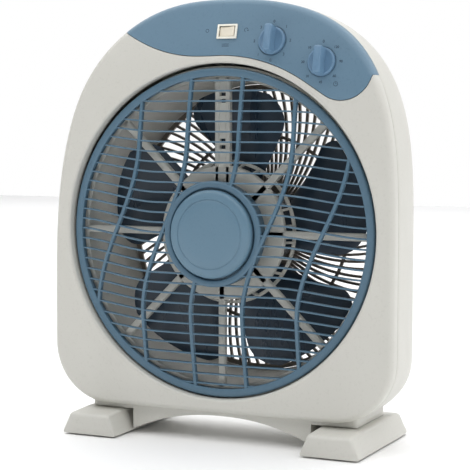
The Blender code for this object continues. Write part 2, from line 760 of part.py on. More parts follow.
def switch_bodies():
    """The three bought-in switch units behind the panel."""
    speed = block("speed_switch", (0.028, 0.020, 0.026), (0.0, 0.0, 0.0), ivory_plastic(), 0.001)
    place(speed, panel_frame(*SPEED_KNOB_XZ) @ Matrix.Translation((0.0, 0.0190, 0.0)))
    timer = turned("timer_body", ((0.016, 0.009), (0.018, 0.010), (0.018, 0.024), (0.016, 0.025)), steel(),
                   (0.0, 0.0, 0.0), 28)
    place(timer, panel_frame(*TIMER_KNOB_XZ))
    rocker_body = block("rocker_body", (0.0170, 0.011, 0.0105), (0.0, 0.0, 0.0), dark_plastic(), 0.0008)
    place(rocker_body, panel_frame(*ROCKER_XZ) @ Matrix.Translation((0.0, 0.0155, 0.0)))
    return speed, timer, rocker_body


def switch_frame():
    """The ivory frame round the rocker: a flange on the panel and a sleeve through it."""
    flange = block("rocker_frame", (FRAME_SIZE[0], 0.0018, FRAME_SIZE[1]), (0.0, 0.0, 0.0), ivory_plastic(), 0.0005)
    sleeve = block("frame_sleeve_tool", (FRAME_SIZE[0] - 0.0030, 0.0105, FRAME_SIZE[1] - 0.0030), (0.0, 0.0, 0.0),
                   ivory_plastic())
    window = block("frame_window_tool", (ROCKER_SIZE[0] + 0.0008, 0.04, ROCKER_SIZE[1] + 0.0008), (0.0, 0.0, 0.0),
                   ivory_plastic())
    matrix = panel_frame(*ROCKER_XZ)
    place(sleeve, matrix @ Matrix.Translation((0.0, 0.0040, 0.0)))
    place(window, matrix)
    boolean(flange, sleeve, "UNION")
    boolean(flange, window, "DIFFERENCE")
    return place(flange, matrix @ Matrix.Translation((0.0, -0.0009 - GAP, 0.0)))


def rocker():
    """A two-position rocker, resting with its left end pressed in."""
    bm = bmesh.new()
    half = ROCKER_SIZE[0] / 2
    top = ROCKER_SIZE[1] / 2
    outline = ((-half, -0.0010), (-0.0006, -0.0003), (half, -0.0010), (half - ROCKER_UNDERCUT, 0.0055),
               (ROCKER_UNDERCUT - half, 0.0055))
    rings = [[Vector((x, y - ROCKER_PIVOT_DEPTH, z)) for x, y in outline] for z in (-top, top)]
    add_loft(bm, rings, False)
    made = finish_mesh("rocker", bm, ivory_plastic())
    pivot = Matrix.Translation((0.0, ROCKER_PIVOT_DEPTH, 0.0))
    return place(made, panel_frame(*ROCKER_XZ) @ pivot @ Matrix.Rotation(-ROCKER_TILT, 4, "Z"))


# ---------------------------------------------------------------- base

def foot_section(x_middle, y, grow, top_z):
    """The cross-section of a foot at one station: straight sloping sides and rounded upper edges."""
    half = FOOT_HALF_BOTTOM - grow
    upper = FOOT_HALF_TOP - grow
    points = ((-half, FOOT_BOTTOM_Z), (half, FOOT_BOTTOM_Z), (upper + 0.0015, top_z - 0.0035),
              (upper, top_z - 0.0010), (upper - 0.0025, top_z), (0.0025 - upper, top_z),
              (-upper, top_z - 0.0010), (-0.0015 - upper, top_z - 0.0035))
    return [Vector((x_middle + x, y, z)) for x, z in points]


def foot(name, side):
    half = FOOT_LENGTH / 2
    stations = ((-half, 0.0, FOOT_TOP_Z - 0.0060), (-half + 0.0012, 0.0, FOOT_TOP_Z - 0.0030),
                (-half + 0.0035, 0.0, FOOT_TOP_Z - 0.0016), (-BRIDGE_HALF_DEPTH, 0.0, FOOT_TOP_Z),
                (BRIDGE_HALF_DEPTH, 0.0, FOOT_TOP_Z), (half - 0.0100, 0.0005, FOOT_TOP_Z - 0.0020),
                (half - 0.0025, 0.0020, FOOT_TOP_Z - 0.0050), (half, 0.0035, FOOT_TOP_Z - 0.0090))
    rings = [foot_section(side * FOOT_X, y, grow, top_z) for y, grow, top_z in stations]
    made = lofted(name, rings, housing_plastic())
    pocket = [[Vector((side * FOOT_X + x, y, z)) for x, z in
               ((-0.0265, -0.002), (0.0265, -0.002), (0.0200, FOOT_TOP_Z - 0.003), (-0.0200, FOOT_TOP_Z - 0.003))]
              for y in (-FOOT_POCKET, FOOT_POCKET)]
    boolean(made, lofted(name + "_pocket_tool", pocket, dark_plastic()), "DIFFERENCE")
    spots = [spot for spot in FOOT_SCREWS if spot[0] * side > 0]
    boolean(made, upright_bores(name + "_screw_holes_tool", spots), "DIFFERENCE")
    return made


def upright_bores(name, spots):
    """Vertical screw holes at (x, y) spots, as one cutting tool."""
    bm = bmesh.new()
    for x, y in spots:
        rings = [[Vector((x + p.x, y + p.z, z)) for p in circle(0.0021, 0.0, 10)] for z in (0.015, 0.036)]
        add_loft(bm, rings, False)
    return finish_mesh(name, bm, dark_plastic())


def arch_height(x):
    """Lower edge of the bridge between the feet."""
    share = min(abs(x) / ARCH_HALF_SPAN, 1.0)
    return 0.0045 + 0.0205 * (1.0 - share ** 2.2)


def base_bridge():
    """The arched bar under the housing, an upturned channel that stands on both feet."""
    stations = []
    for i in range(17):
        x = -ARCH_HALF_SPAN + 2 * ARCH_HALF_SPAN * i / 16
        stations.append((x, arch_height(x)))
    over_foot = FOOT_TOP_Z + GAP
    ends = [BRIDGE_HALF_WIDTH, 0.136, 0.129, 0.122, ARCH_HALF_SPAN + 0.0004]
    stations = [(-x, over_foot) for x in ends] + stations + [(x, over_foot) for x in reversed(ends)]
    rings = []
    for x, low in stations:
        high = housing_bottom(x) - GAP
        roof = max(high - 0.0026, low + 0.0006)
        outer = BRIDGE_HALF_DEPTH
        inner = BRIDGE_HALF_DEPTH - 0.003
        section = ((-outer, low), (-outer, high), (outer, high), (outer, low), (inner, low), (inner, roof),
                   (-inner, roof), (-inner, low))
        rings.append([Vector((x, y, z)) for y, z in section])
    bridge = lofted("base_bridge", rings, housing_plastic())
    boolean(bridge, upright_bores("bridge_screw_holes_tool", FOOT_SCREWS), "DIFFERENCE")
    return bridge


def pads():
    made = []
    for side, side_name in ((-1, "left"), (1, "right")):
        for end, end_name in ((-1, "front"), (1, "rear")):
            pad = turned(f"pad_{side_name}_{end_name}",
                         ((PAD_RADIUS, 0.0), (PAD_RADIUS, PAD_HEIGHT)), rubber(), (0.0, 0.0, 0.0), 16)
            centre = Vector((side * FOOT_X, end * 0.058, 0.0))
            made.append(place(pad, Matrix.Translation(centre) @ Matrix.Rotation(math.pi / 2, 4, "X")))
    return made


# ---------------------------------------------------------------- fasteners and wiring

def screw(name, head_centre, direction, length=0.010, head_radius=0.0038, shank_radius=0.0018):
    """A pan-head screw. direction points from the head along the shank."""
    profile = ((head_radius, -0.0022), (head_radius, 0.0), (shank_radius, 0.0), (shank_radius, length))
    made = turned(name, profile, steel(), (0.0, 0.0, 0.0), 10)
    turn = Vector((0.0, 1.0, 0.0)).rotation_difference(Vector(direction)).to_matrix().to_4x4()
    return place(made, Matrix.Translation(head_centre) @ turn)


def screws():
    for k, (x, z) in enumerate(SHELL_SCREWS, 1):
        screw(f"shell_screw_{k}", (x, BACK_Y + GAP, z), (0.0, -1.0, 0.0), 0.012)
    plate = GRILLE_FRONT_Y + GRILLE_DEPTH
    for k, (x, z) in enumerate(motor_screw_spots(), 1):
        screw(f"motor_screw_{k}", (x, plate + GAP, z), (0.0, -1.0, 0.0), 0.0050, 0.0030, 0.0015)
    for k, (x, y) in enumerate(FOOT_SCREWS, 1):
        screw(f"foot_screw_{k}", (x, y, FOOT_TOP_Z - 0.003 - GAP), (0.0, 0.0, 1.0), 0.0072)


def motor_screw_spots():
    """Where the motor is screwed to the plate of the rear grille, as (x, z)."""
    turns = [math.radians(45 + 90 * k) for k in range(4)]
    return [(MOTOR_SCREW_RADIUS * math.cos(a), HUB_Z + MOTOR_SCREW_RADIUS * math.sin(a)) for a in turns]


def wiring():
    """The louver motor's lead up the wide arm, the capacitor and the terminal block behind the panel."""
    curve = bpy.data.curves.new("louver_lead", "CURVE")
    curve.dimensions = "3D"
    curve.bevel_depth = LEAD_RADIUS
    curve.bevel_resolution = 1
    curve.use_fill_caps = True
    spline = curve.splines.new("POLY")
    path = [(0.0, LEAD_Y, HUB_Z + 0.012 + LEAD_LENGTH * k / 8) for k in range(9)]
    spline.points.add(len(path) - 1)
    for point, place_on_path in zip(spline.points, path):
        point.co = (*place_on_path, 1.0)
    curve.materials.append(dark_plastic())
    lead = bpy.data.objects.new("louver_lead", curve)
    bpy.context.scene.collection.objects.link(lead)
    block("capacitor", (0.036, 0.014, 0.020), (-0.062, -0.012, 0.396), dark_plastic(), 0.0015)
    block("terminal_block", (0.028, 0.012, 0.010), (-0.078, 0.030, 0.042), ivory_plastic(), 0.0008)


def main():
    clear_scene()
    front_shell()
    control_panel()
    rear_shell()
    cord_inlet()
    spider()
    rear_grille()
    louver_grille()
    louver_cap()
    louver_motor()
    louver_shaft()
    fan_blade()
    blade_nut()
    motor()
    knob("speed_knob", SPEED_KNOB_XZ)
    knob("timer_knob", TIMER_KNOB_XZ)
    stem("speed_stem", SPEED_KNOB_XZ)
    stem("timer_stem", TIMER_KNOB_XZ)
    switch_bodies()
    switch_frame()
    rocker()
    foot("foot_left", -1)
    foot("foot_right", 1)
    base_bridge()
    pads()
    screws()
    wiring()


main()
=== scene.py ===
"""The visual model of a box fan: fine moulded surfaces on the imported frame, with camera, floor and light."""

import json
import math

import bmesh
import bpy
from mathutils import Matrix, Vector


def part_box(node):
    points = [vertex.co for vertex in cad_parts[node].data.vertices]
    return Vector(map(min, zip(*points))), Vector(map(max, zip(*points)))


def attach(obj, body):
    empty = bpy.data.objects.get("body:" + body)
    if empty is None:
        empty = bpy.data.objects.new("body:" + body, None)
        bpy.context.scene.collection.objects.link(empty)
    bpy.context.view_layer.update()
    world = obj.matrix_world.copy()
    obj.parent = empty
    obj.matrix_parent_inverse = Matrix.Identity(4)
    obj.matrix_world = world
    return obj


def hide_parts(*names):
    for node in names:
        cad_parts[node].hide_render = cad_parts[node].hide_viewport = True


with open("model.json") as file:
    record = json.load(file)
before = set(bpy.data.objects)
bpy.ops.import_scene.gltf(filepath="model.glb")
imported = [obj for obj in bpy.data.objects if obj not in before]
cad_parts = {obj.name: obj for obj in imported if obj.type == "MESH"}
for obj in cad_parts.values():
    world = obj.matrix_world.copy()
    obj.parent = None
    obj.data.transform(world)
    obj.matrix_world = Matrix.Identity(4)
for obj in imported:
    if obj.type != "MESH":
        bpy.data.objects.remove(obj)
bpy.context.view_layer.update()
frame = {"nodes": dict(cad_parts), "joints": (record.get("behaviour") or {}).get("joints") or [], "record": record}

# All sizes are in metres. Housing outline, as in the CAD model
HALF_WIDTH = 0.182
TOP_Z = 0.434
SHOULDER_Z = 0.150
ARCH_LEFT = (2.6, 2.6)       # exponents of the arch's superellipse left of the middle, across and up
ARCH_RIGHT = (2.3, 4.5)      # the same on the panel's side, where the shoulder is fuller
BOTTOM_Z = 0.030
CORNER_RADIUS = 0.060
BOTTOM_DRAFT = 0.3
OUTLINE_STEPS = 224
FACE_Y = -0.051
RIM_DEPTH = 0.014
EDGE_ROUND = 0.0055
BACK_Y = 0.063
WALL = 0.0025
LEAN_TAN = math.tan(math.radians(15))
LEAN_START_Z = 0.325
LEAN_FULL_Z = 0.390

# Air path
JOINTS = {joint["name"]: joint for joint in frame["joints"]}
HUB_Z = JOINTS["fan_spin"]["pos_m"][2]
OPENING_RADIUS = 0.164
OPENING_Z = HUB_Z + 0.0015
DUCT_RADIUS = 0.156
REAR_OPENING_RADIUS = 0.148

# Louver grille
RIM_RADIUS = 0.161
RIM_INNER = 0.153
RIM_FRONT_Y = -0.045
DOME = 0.015
HUB_RADIUS = 0.0515
CAP_RADIUS = 0.043
SLAT_PITCH = 0.0099
SLAT_COUNT = 31
SLAT_HEIGHT = 0.0016
SLAT_DROP = 0.011
BAR_DEPTH = 0.0042
RIB_WIDTH = 0.0034
RIB_SPACING = 0.055
RIB_SWING = 0.025
RIB_SWING_REACH = 0.085

# Spider, wheel and rear grille
SPIDER_Y = -0.036
SPIDER_DEPTH = 0.005
SPIDER_ARMS = 8
DRUM_RADIUS = 0.0660
DRUM_FLARE = 0.0045
DRUM_BACK_Y = -0.0172
DRUM_SLOTS = 26
DRUM_WEB_HALF_WIDTH = 0.0011
BLADE_COUNT = 5
BLADE_RADIUS = 0.141
BLADE_HALF_ANGLE = math.radians(25)
BLADE_FIRST_ANGLE = math.radians(80)
BLADE_RISE = 0.017
BLADE_THICKNESS = 0.0022
WHEEL_RADIUS = 0.040
WHEEL_Y = -0.020
GRILLE_Y = 0.0575
GRILLE_SPOKES = 90
GRILLE_SWIRL = math.radians(26)

# Panel
PANEL_GAP = 0.0007
PANEL_EDGE_RADIUS = 0.1726
PANEL_DIP_X = -0.022
PANEL_DIP_Z = 0.3782
PANEL_DIP_CURVE = 3.63
PANEL_TIP_X = -0.112
LOBE = (0.1285, 0.3655, 0.031)
STEP_Z = 0.358
SPEED_XZ = (0.0551, 0.3918)
TIMER_XZ = (0.1078, 0.3709)
ROCKER_XZ = (0.0069, 0.4016)
KNOB_RADIUS = 0.0136
KNOB_WELL_RADIUS = 0.0147
KNOB_WELL_DEPTH = 0.0012
STEM_HOLE_RADIUS = 0.0048
PANEL_CUT_REACH = 0.012
FRAME_SIZE = (0.0212, 0.0146)
ROCKER_SIZE = (0.0160, 0.0098)
ROCKER_TILT = math.radians(7)
INK_LIFT = 0.00006

# Base
FOOT_HALF_LENGTH = 0.075
FOOT_X = 0.1285
FOOT_HALF_BOTTOM = 0.0295
FOOT_HALF_TOP = 0.0215
FOOT_BOTTOM_Z = 0.0018
FOOT_TOP_Z = 0.0245
BRIDGE_HALF_DEPTH = 0.040
BRIDGE_HALF_WIDTH = 0.143
ARCH_HALF_SPAN = 0.0965

# Camera: place, azimuth, elevation and roll in degrees, focal length in mm, lens shift
CAMERA_PLACE = (0.629, -1.3745, 0.3075)
CAMERA_ANGLES = (24.795, 3.767, 0.21)
CAMERA_LENS = 115.80
CAMERA_SHIFT = (0.00674, -0.01341)


# ---------------------------------------------------------------- materials

def display(red, green, blue):
    """A linear colour from 8-bit display values."""
    def linear(value):
        share = value / 255
        return share / 12.92 if share <= 0.04045 else ((share + 0.055) / 1.055) ** 2.4
    return (linear(red), linear(green), linear(blue), 1.0)


def grey(value):
    return (value, value, value, 1.0)


def scaled(colour, factor):
    return (*(min(channel * factor, 1.0) for channel in colour[:3]), 1.0)


def add_noise(tree, coords, scale, detail, stretch=None):
    noise = tree.nodes.new("ShaderNodeTexNoise")
    noise.inputs["Scale"].default_value = scale
    noise.inputs["Detail"].default_value = detail
    source = coords.outputs["Object"]
    if stretch:
        mapping = tree.nodes.new("ShaderNodeMapping")
        mapping.inputs["Scale"].default_value = stretch
        tree.links.new(source, mapping.inputs["Vector"])
        source = mapping.outputs["Vector"]
    tree.links.new(source, noise.inputs["Vector"])
    return noise.outputs["Fac"]


def add_ramp(tree, factor, low, high, first, second):
    ramp = tree.nodes.new("ShaderNodeValToRGB")
    ramp.color_ramp.elements[0].position = low
    ramp.color_ramp.elements[1].position = high
    ramp.color_ramp.elements[0].color = first
    ramp.color_ramp.elements[1].color = second
    tree.links.new(factor, ramp.inputs["Fac"])
    return ramp.outputs["Color"]


def add_range(tree, factor, low, high):
    made = tree.nodes.new("ShaderNodeMapRange")
    made.inputs["From Min"].default_value = 0.3
    made.inputs["From Max"].default_value = 0.7
    made.inputs["To Min"].default_value = low
    made.inputs["To Max"].default_value = high
    tree.links.new(factor, made.inputs["Value"])
    return made.outputs["Result"]


def mixed(tree, factor, first, second, blend="MIX", amount=1.0):
    """Mixes two colours, by a socket or by a constant amount."""
    mix = tree.nodes.new("ShaderNodeMix")
    mix.data_type = "RGBA"
    mix.blend_type = blend
    if factor is None:
        mix.inputs["Factor"].default_value = amount
    else:
        tree.links.new(factor, mix.inputs["Factor"])
    for socket, value in ((mix.inputs[6], first), (mix.inputs[7], second)):
        if isinstance(value, tuple):
            socket.default_value = value
        else:
            tree.links.new(value, socket)
    return mix.outputs[2]


def moulded(name, colour, roughness, grain, bump, variation, wear, specular=0.5):
    """Injection-moulded plastic: an eroded mould's grain, clouding, paler worn edges, handling marks."""
    made = bpy.data.materials.new(name)
    made.use_nodes = True
    tree = made.node_tree
    shader = tree.nodes["Principled BSDF"]
    coords = tree.nodes.new("ShaderNodeTexCoord")
    cloud = add_noise(tree, coords, 11.0, 4.0)
    body = add_ramp(tree, cloud, 0.35, 0.65, scaled(colour, 1 - variation), scaled(colour, 1 + variation))
    specks = add_noise(tree, coords, 420.0, 2.0)
    speck_tint = add_ramp(tree, specks, 0.30, 0.42, scaled(colour, 0.86), grey(1.0))
    body = mixed(tree, None, body, speck_tint, "MULTIPLY", 0.10)
    geometry = tree.nodes.new("ShaderNodeNewGeometry")
    edges = add_ramp(tree, geometry.outputs["Pointiness"], 0.52, 0.60, grey(0.0), grey(wear))
    body = mixed(tree, edges, body, scaled(colour, 1.45))
    tree.links.new(body, shader.inputs["Base Color"])
    marks = add_noise(tree, coords, 38.0, 6.0, (1.0, 1.0, 0.35))
    tree.links.new(add_range(tree, marks, roughness - 0.06, roughness + 0.09), shader.inputs["Roughness"])
    fine = add_noise(tree, coords, grain, 3.0)
    relief = tree.nodes.new("ShaderNodeBump")
    relief.inputs["Strength"].default_value = bump
    relief.inputs["Distance"].default_value = 0.00012
    tree.links.new(fine, relief.inputs["Height"])
    tree.links.new(relief.outputs["Normal"], shader.inputs["Normal"])
    shader.inputs["Specular IOR Level"].default_value = specular
    return made


def metal(name, colour, roughness, streaks):
    """Rolled or turned metal with fine streaks along it and a dull bloom."""
    made = bpy.data.materials.new(name)
    made.use_nodes = True
    tree = made.node_tree
    shader = tree.nodes["Principled BSDF"]
    shader.inputs["Metallic"].default_value = 1.0
    coords = tree.nodes.new("ShaderNodeTexCoord")
    lines = add_noise(tree, coords, 260.0, 4.0, streaks)
    cloud = add_noise(tree, coords, 24.0, 4.0)
    body = add_ramp(tree, lines, 0.35, 0.65, scaled(colour, 0.80), scaled(colour, 1.12))
    bloom = add_ramp(tree, cloud, 0.55, 0.75, grey(1.0), (0.70, 0.68, 0.66, 1.0))
    tree.links.new(mixed(tree, None, body, bloom, "MULTIPLY", 0.5), shader.inputs["Base Color"])
    tree.links.new(add_range(tree, cloud, roughness - 0.08, roughness + 0.14), shader.inputs["Roughness"])
    relief = tree.nodes.new("ShaderNodeBump")
    relief.inputs["Strength"].default_value = 0.2
    relief.inputs["Distance"].default_value = 0.00008
    tree.links.new(lines, relief.inputs["Height"])
    tree.links.new(relief.outputs["Normal"], shader.inputs["Normal"])
    return made


HOUSING = moulded("housing_surface", display(206, 205, 198), 0.40, 1500.0, 0.20, 0.015, 0.06)
BLUE = moulded("blue_surface", display(100, 130, 151), 0.42, 1800.0, 0.25, 0.03, 0.16)
KNOB_BLUE = moulded("knob_surface", display(103, 136, 164), 0.36, 1800.0, 0.20, 0.03, 0.16)
CAP_BLUE = moulded("cap_surface", display(98, 129, 149), 0.36, 1800.0, 0.20, 0.03, 0.16)
GRILLE_BLUE = moulded("louver_surface", display(81, 111, 131), 0.36, 1500.0, 0.20, 0.04, 0.20)
BLADE = moulded("blade_surface", display(38, 54, 69), 0.30, 900.0, 0.15, 0.06, 0.12)
SPIDER_GREY = moulded("spider_surface", display(205, 204, 196), 0.42, 1500.0, 0.20, 0.03, 0.08)
# The rear guard is the housing's pale plastic; its darker grey-brown colour is painted shade, not a different
# plastic
SHADED_GUARD = moulded("rear_guard_painted_shade_surface", display(120, 112, 103), 0.45, 1500.0, 0.20, 0.04, 0.08)
IVORY = moulded("ivory_surface", display(242, 240, 228), 0.34, 2000.0, 0.12, 0.02, 0.05)
ROCKER_IVORY = moulded("rocker_surface", display(232, 224, 207), 0.32, 2000.0, 0.12, 0.03, 0.05)
DARK = moulded("dark_surface", display(34, 35, 36), 0.50, 1200.0, 0.30, 0.10, 0.20)
INK = moulded("ink_surface", display(44, 64, 84), 0.55, 2500.0, 0.20, 0.08, 0.0)
RUBBER = moulded("rubber_surface", display(40, 40, 41), 0.78, 700.0, 0.60, 0.12, 0.25, 0.3)
STEEL = metal("steel_surface", display(196, 198, 201), 0.30, (1.0, 0.08, 1.0))
COPPER = metal("copper_surface", display(190, 104, 62), 0.34, (0.2, 6.0, 0.2))
BRONZE = metal("bronze_surface", display(168, 128, 74), 0.42, (1.0, 1.0, 1.0))

CARRIED = {"housing": HOUSING, "blue": BLUE, "blade": BLADE, "ivory": IVORY, "dark": DARK, "steel": STEEL,
           "copper": COPPER, "bronze": BRONZE, "rubber": RUBBER}


# ---------------------------------------------------------------- mesh tools

def mesh_object(name, bm, surface, smooth_angle=32.0):
    bmesh.ops.recalc_face_normals(bm, faces=bm.faces)
    mesh = bpy.data.meshes.new(name)
    bm.to_mesh(mesh)
    bm.free()
    mesh.materials.append(surface)
    mesh.shade_smooth()
    mesh.set_sharp_from_angle(angle=math.radians(smooth_angle))
    made = bpy.data.objects.new(name, mesh)
    bpy.context.scene.collection.objects.link(made)
    return made


def mounted(made, body, slot, *nodes):
    """Hands a finished piece to the frame: what it rides on and the CAD nodes it stands for. The slot, its finish,
    is not used.
    """
    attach(made, body)
    if nodes:
        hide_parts(*nodes)
    return made


def add_loft(bm, rings, closed=False, capped=True):
    rows = [[bm.verts.new(point) for point in ring] for ring in rings]
    pairs = list(zip(rows, rows[1:]))
    if closed:
        pairs.append((rows[-1], rows[0]))
    elif capped:
        bm.faces.new(rows[0])
        bm.faces.new(rows[-1])
    for first, second in pairs:
        for i in range(len(first)):
            j = (i + 1) % len(first)
            bm.faces.new((first[i], first[j], second[j], second[i]))


def circle(radius, y, steps, centre=(0.0, 0.0)):
    turns = [2 * math.pi * i / steps for i in range(steps)]
    return [Vector((centre[0] + radius * math.cos(a), y, centre[1] + radius * math.sin(a))) for a in turns]


def add_turned(bm, profile, centre=(0.0, 0.0), steps=128, hollow=False):
    """A turned shape round the Y direction, from (radius, y) pairs."""
    add_loft(bm, [circle(radius, y, steps, centre) for radius, y in profile], hollow)


def arc(centre, radius, start, end, steps):
    """(a, b) points of an arc given in degrees."""
    turns = [math.radians(start + (end - start) * k / steps) for k in range(steps + 1)]
    return [(centre[0] + radius * math.cos(t), centre[1] + radius * math.sin(t)) for t in turns]


def bar_section(width, depth, edge, steps=3):
    """(across, back) points of a bar whose front edges are rounded."""
    half = width / 2
    points = arc((edge - half, edge), edge, 180, 270, steps)
    points += arc((half - edge, edge), edge, 270, 360, steps)
    return points + [(half, depth), (-half, depth)]


def add_bar(bm, path, section):
    """Sweeps a section along a path that lies in planes across Y."""
    rings = []
    for k, point in enumerate(path):
        before = path[max(k - 1, 0)]
        after = path[min(k + 1, len(path) - 1)]
        along = Vector((after.x - before.x, 0.0, after.z - before.z)).normalized()
        across = Vector((-along.z, 0.0, along.x))
        rings.append([point + across * a + Vector((0.0, b, 0.0)) for a, b in section])
    add_loft(bm, rings)


def cut(target, bm, operation):
    """Applies a Boolean with a closed tool mesh, and removes the tool."""
    tool = mesh_object("tool", bm, DARK)
    modifier = target.modifiers.new("cut", "BOOLEAN")
    modifier.operation = operation
    modifier.object = tool
    bpy.context.view_layer.update()
    graph = bpy.context.evaluated_depsgraph_get()
    result = bpy.data.meshes.new_from_object(target.evaluated_get(graph))
    target.modifiers.clear()
    target.data = result
    bpy.data.objects.remove(tool, do_unlink=True)
    while len(result.materials) > 1:
        result.materials.pop()
    for polygon in result.polygons:
        polygon.material_index = 0
    result.shade_smooth()
    result.set_sharp_from_angle(angle=math.radians(32))
    return target


def add_block(bm, size, matrix, bevel=0.0, segments=3):
    made = bmesh.new()
    bmesh.ops.create_cube(made, size=1.0, matrix=Matrix.Diagonal((*size, 1.0)))
    if bevel:
        bmesh.ops.bevel(made, geom=made.edges[:], offset=bevel, segments=segments, affect="EDGES",
                        profile=0.5)
    bmesh.ops.transform(made, matrix=matrix, verts=made.verts)
    mesh = bpy.data.meshes.new("block")
    made.to_mesh(mesh)
    made.free()
    bm.from_mesh(mesh)
    bpy.data.meshes.remove(mesh)


# ---------------------------------------------------------------- housing

def lean(z):
    """How far the front face has leaned back at a height."""
    span = LEAN_FULL_Z - LEAN_START_Z
    rise = min(max(z - LEAN_START_Z, 0.0), span)
    return LEAN_TAN * (rise * rise / (2 * span) + max(z - LEAN_FULL_Z, 0.0))


def lean_angle(z):
    share = min(max((z - LEAN_START_Z) / (LEAN_FULL_Z - LEAN_START_Z), 0.0), 1.0)
    return math.atan(LEAN_TAN * share)


def in_outline(x, z, inset, low):
    half = HALF_WIDTH - inset
    across, up = ARCH_RIGHT if x > 0.0 else ARCH_LEFT
    x = abs(x)
    if z >= SHOULDER_Z:
        height = TOP_Z - inset - SHOULDER_Z
        return (x / half) ** across + ((z - SHOULDER_Z) / height) ** up <= 1.0
    radius = CORNER_RADIUS - inset
    dx = x - (half - radius)
    dz = low + radius - z
    if dx > 0.0 and dz > 0.0:
        return math.hypot(dx, dz) <= radius
    return x <= half and z >= low


def outline_points(inset, low):
    """(x, z) points of the outline, evenly turned round the hub's axis."""
    points = []
    for i in range(OUTLINE_STEPS):
        angle = 2 * math.pi * i / OUTLINE_STEPS
        inside = 0.0
        outside = 0.35
        for _ in range(22):
            middle = (inside + outside) / 2
            if in_outline(middle * math.cos(angle), HUB_Z + middle * math.sin(angle), inset, low):
                inside = middle
            else:
                outside = middle
        points.append((inside * math.cos(angle), HUB_Z + inside * math.sin(angle)))
    return points


def outline_ring(inset, y, share, rise=None):
    low = BOTTOM_Z + (inset if rise is None else rise)
    return [Vector((x, y + share * lean(z), z)) for x, z in outline_points(inset, low)]


def face_rings(outer, inner, count):
    """Rings on the leaning front face, between an outline and the opening."""
    rings = []
    for k in range(1, count):
        share = k / count
        ring = []
        for a, b in zip(outer, inner):
            point = a.lerp(b, share)
            ring.append(Vector((point.x, FACE_Y + lean(point.z), point.z)))
        rings.append(ring)
    return rings


def opening_ring(radius, y):
    ring = circle(radius, y, OUTLINE_STEPS, (0.0, OPENING_Z))
    return [Vector((p.x, p.y + lean(p.z), p.z)) for p in ring]


def rim_profile():
    """(inset, y) round the front edge, from the joint between the shells to the face."""
    joint = FACE_Y + RIM_DEPTH
    lip = [(0.0009, joint), (0.0003, joint - 0.0004), (0.0, joint - 0.0012)]
    return lip + [(EDGE_ROUND - a, b) for a, b in arc((0.0, FACE_Y + EDGE_ROUND), EDGE_ROUND, 0, -90, 9)]


def face_skin(lip):
    """Rings of a closed loft: the front's skin and inner side. lip holds (radius, y) round the opening."""
    outer = [outline_ring(inset, y, 1.0) for inset, y in rim_profile()]
    inner = [opening_ring(radius, y) for radius, y in lip]
    back = [outline_ring(inset, y, 1.0) for inset, y in
            ((0.0075, FACE_Y + WALL), (WALL + 0.0006, FACE_Y + 0.006), (WALL, FACE_Y + RIM_DEPTH))]
    return outer + face_rings(outer[-1], inner[0], 16) + inner + back


def opening_lip():
    roll = [(0.1672 - 0.0032 * math.sin(t), FACE_Y + 0.0032 * (1 - math.cos(t)))
            for t in [math.pi / 2 * k / 7 for k in range(8)]]
    return roll + [(OPENING_RADIUS, FACE_Y + 0.0115), (OPENING_RADIUS + WALL, FACE_Y + 0.0115),
                   (OPENING_RADIUS + WALL, FACE_Y + WALL + 0.0030)]


def panel_outline(shift):
    """The region that the control panel covers, grown by shift, as (x, z) points."""
    points = []
    for i in range(25):
        x = PANEL_TIP_X + (-0.010 - PANEL_TIP_X) * i / 24
        points.append((x, PANEL_DIP_Z + PANEL_DIP_CURVE * min(x - PANEL_DIP_X, 0.0) ** 2 - shift))
    points += arc((0.0, HUB_Z), PANEL_EDGE_RADIUS - shift, 89, 57, 24)
    points += arc(LOBE[:2], LOBE[2] + shift, 234, 346, 32)
    return points + [(0.21, STEP_Z - shift), (0.21, 0.46), (-0.15, 0.46)]


def panel_region(shift):
    bm = bmesh.new()
    add_loft(bm, [[Vector((x, y, z)) for x, z in panel_outline(shift)] for y in (-0.08, 0.01)])
    return bm


def panel_frame(x, z):
    """The matrix of a control on the panel: its own -Y points straight out of the face there."""
    return Matrix.Translation((x, FACE_Y + lean(z), z)) @ Matrix.Rotation(-lean_angle(z), 4, "X")


def front_shell():
    bm = bmesh.new()
    add_loft(bm, face_skin(opening_lip()), True)
    shell = mesh_object("front_shell_skin", bm, HOUSING)
    cut(shell, panel_region(PANEL_GAP / 2), "DIFFERENCE")
    return mounted(shell, "housing", "housing", "front_shell")


def control_panel():
    bm = bmesh.new()
    add_loft(bm, face_skin([(0.1690, FACE_Y), (0.1690, FACE_Y + WALL)]), True)
    panel = mesh_object("panel_skin", bm, BLUE)
    cut(panel, panel_region(-PANEL_GAP / 2), "INTERSECT")
    holes = bmesh.new()
    for xz in (SPEED_XZ, TIMER_XZ):
        hole = bmesh.new()
        well = ((KNOB_WELL_RADIUS, -PANEL_CUT_REACH), (KNOB_WELL_RADIUS, KNOB_WELL_DEPTH),
                (STEM_HOLE_RADIUS, KNOB_WELL_DEPTH), (STEM_HOLE_RADIUS, PANEL_CUT_REACH))
        add_turned(hole, well, (0.0, 0.0), 72)
        bmesh.ops.transform(hole, matrix=panel_frame(*xz), verts=hole.verts)
        mesh = bpy.data.meshes.new("hole")
        hole.to_mesh(mesh)
        hole.free()
        holes.from_mesh(mesh)
        bpy.data.meshes.remove(mesh)
    add_block(holes, (FRAME_SIZE[0] - 0.002, 0.02, FRAME_SIZE[1] - 0.002), panel_frame(*ROCKER_XZ))
    cut(panel, holes, "DIFFERENCE")
    return mounted(panel, "housing", "blue", "control_panel")


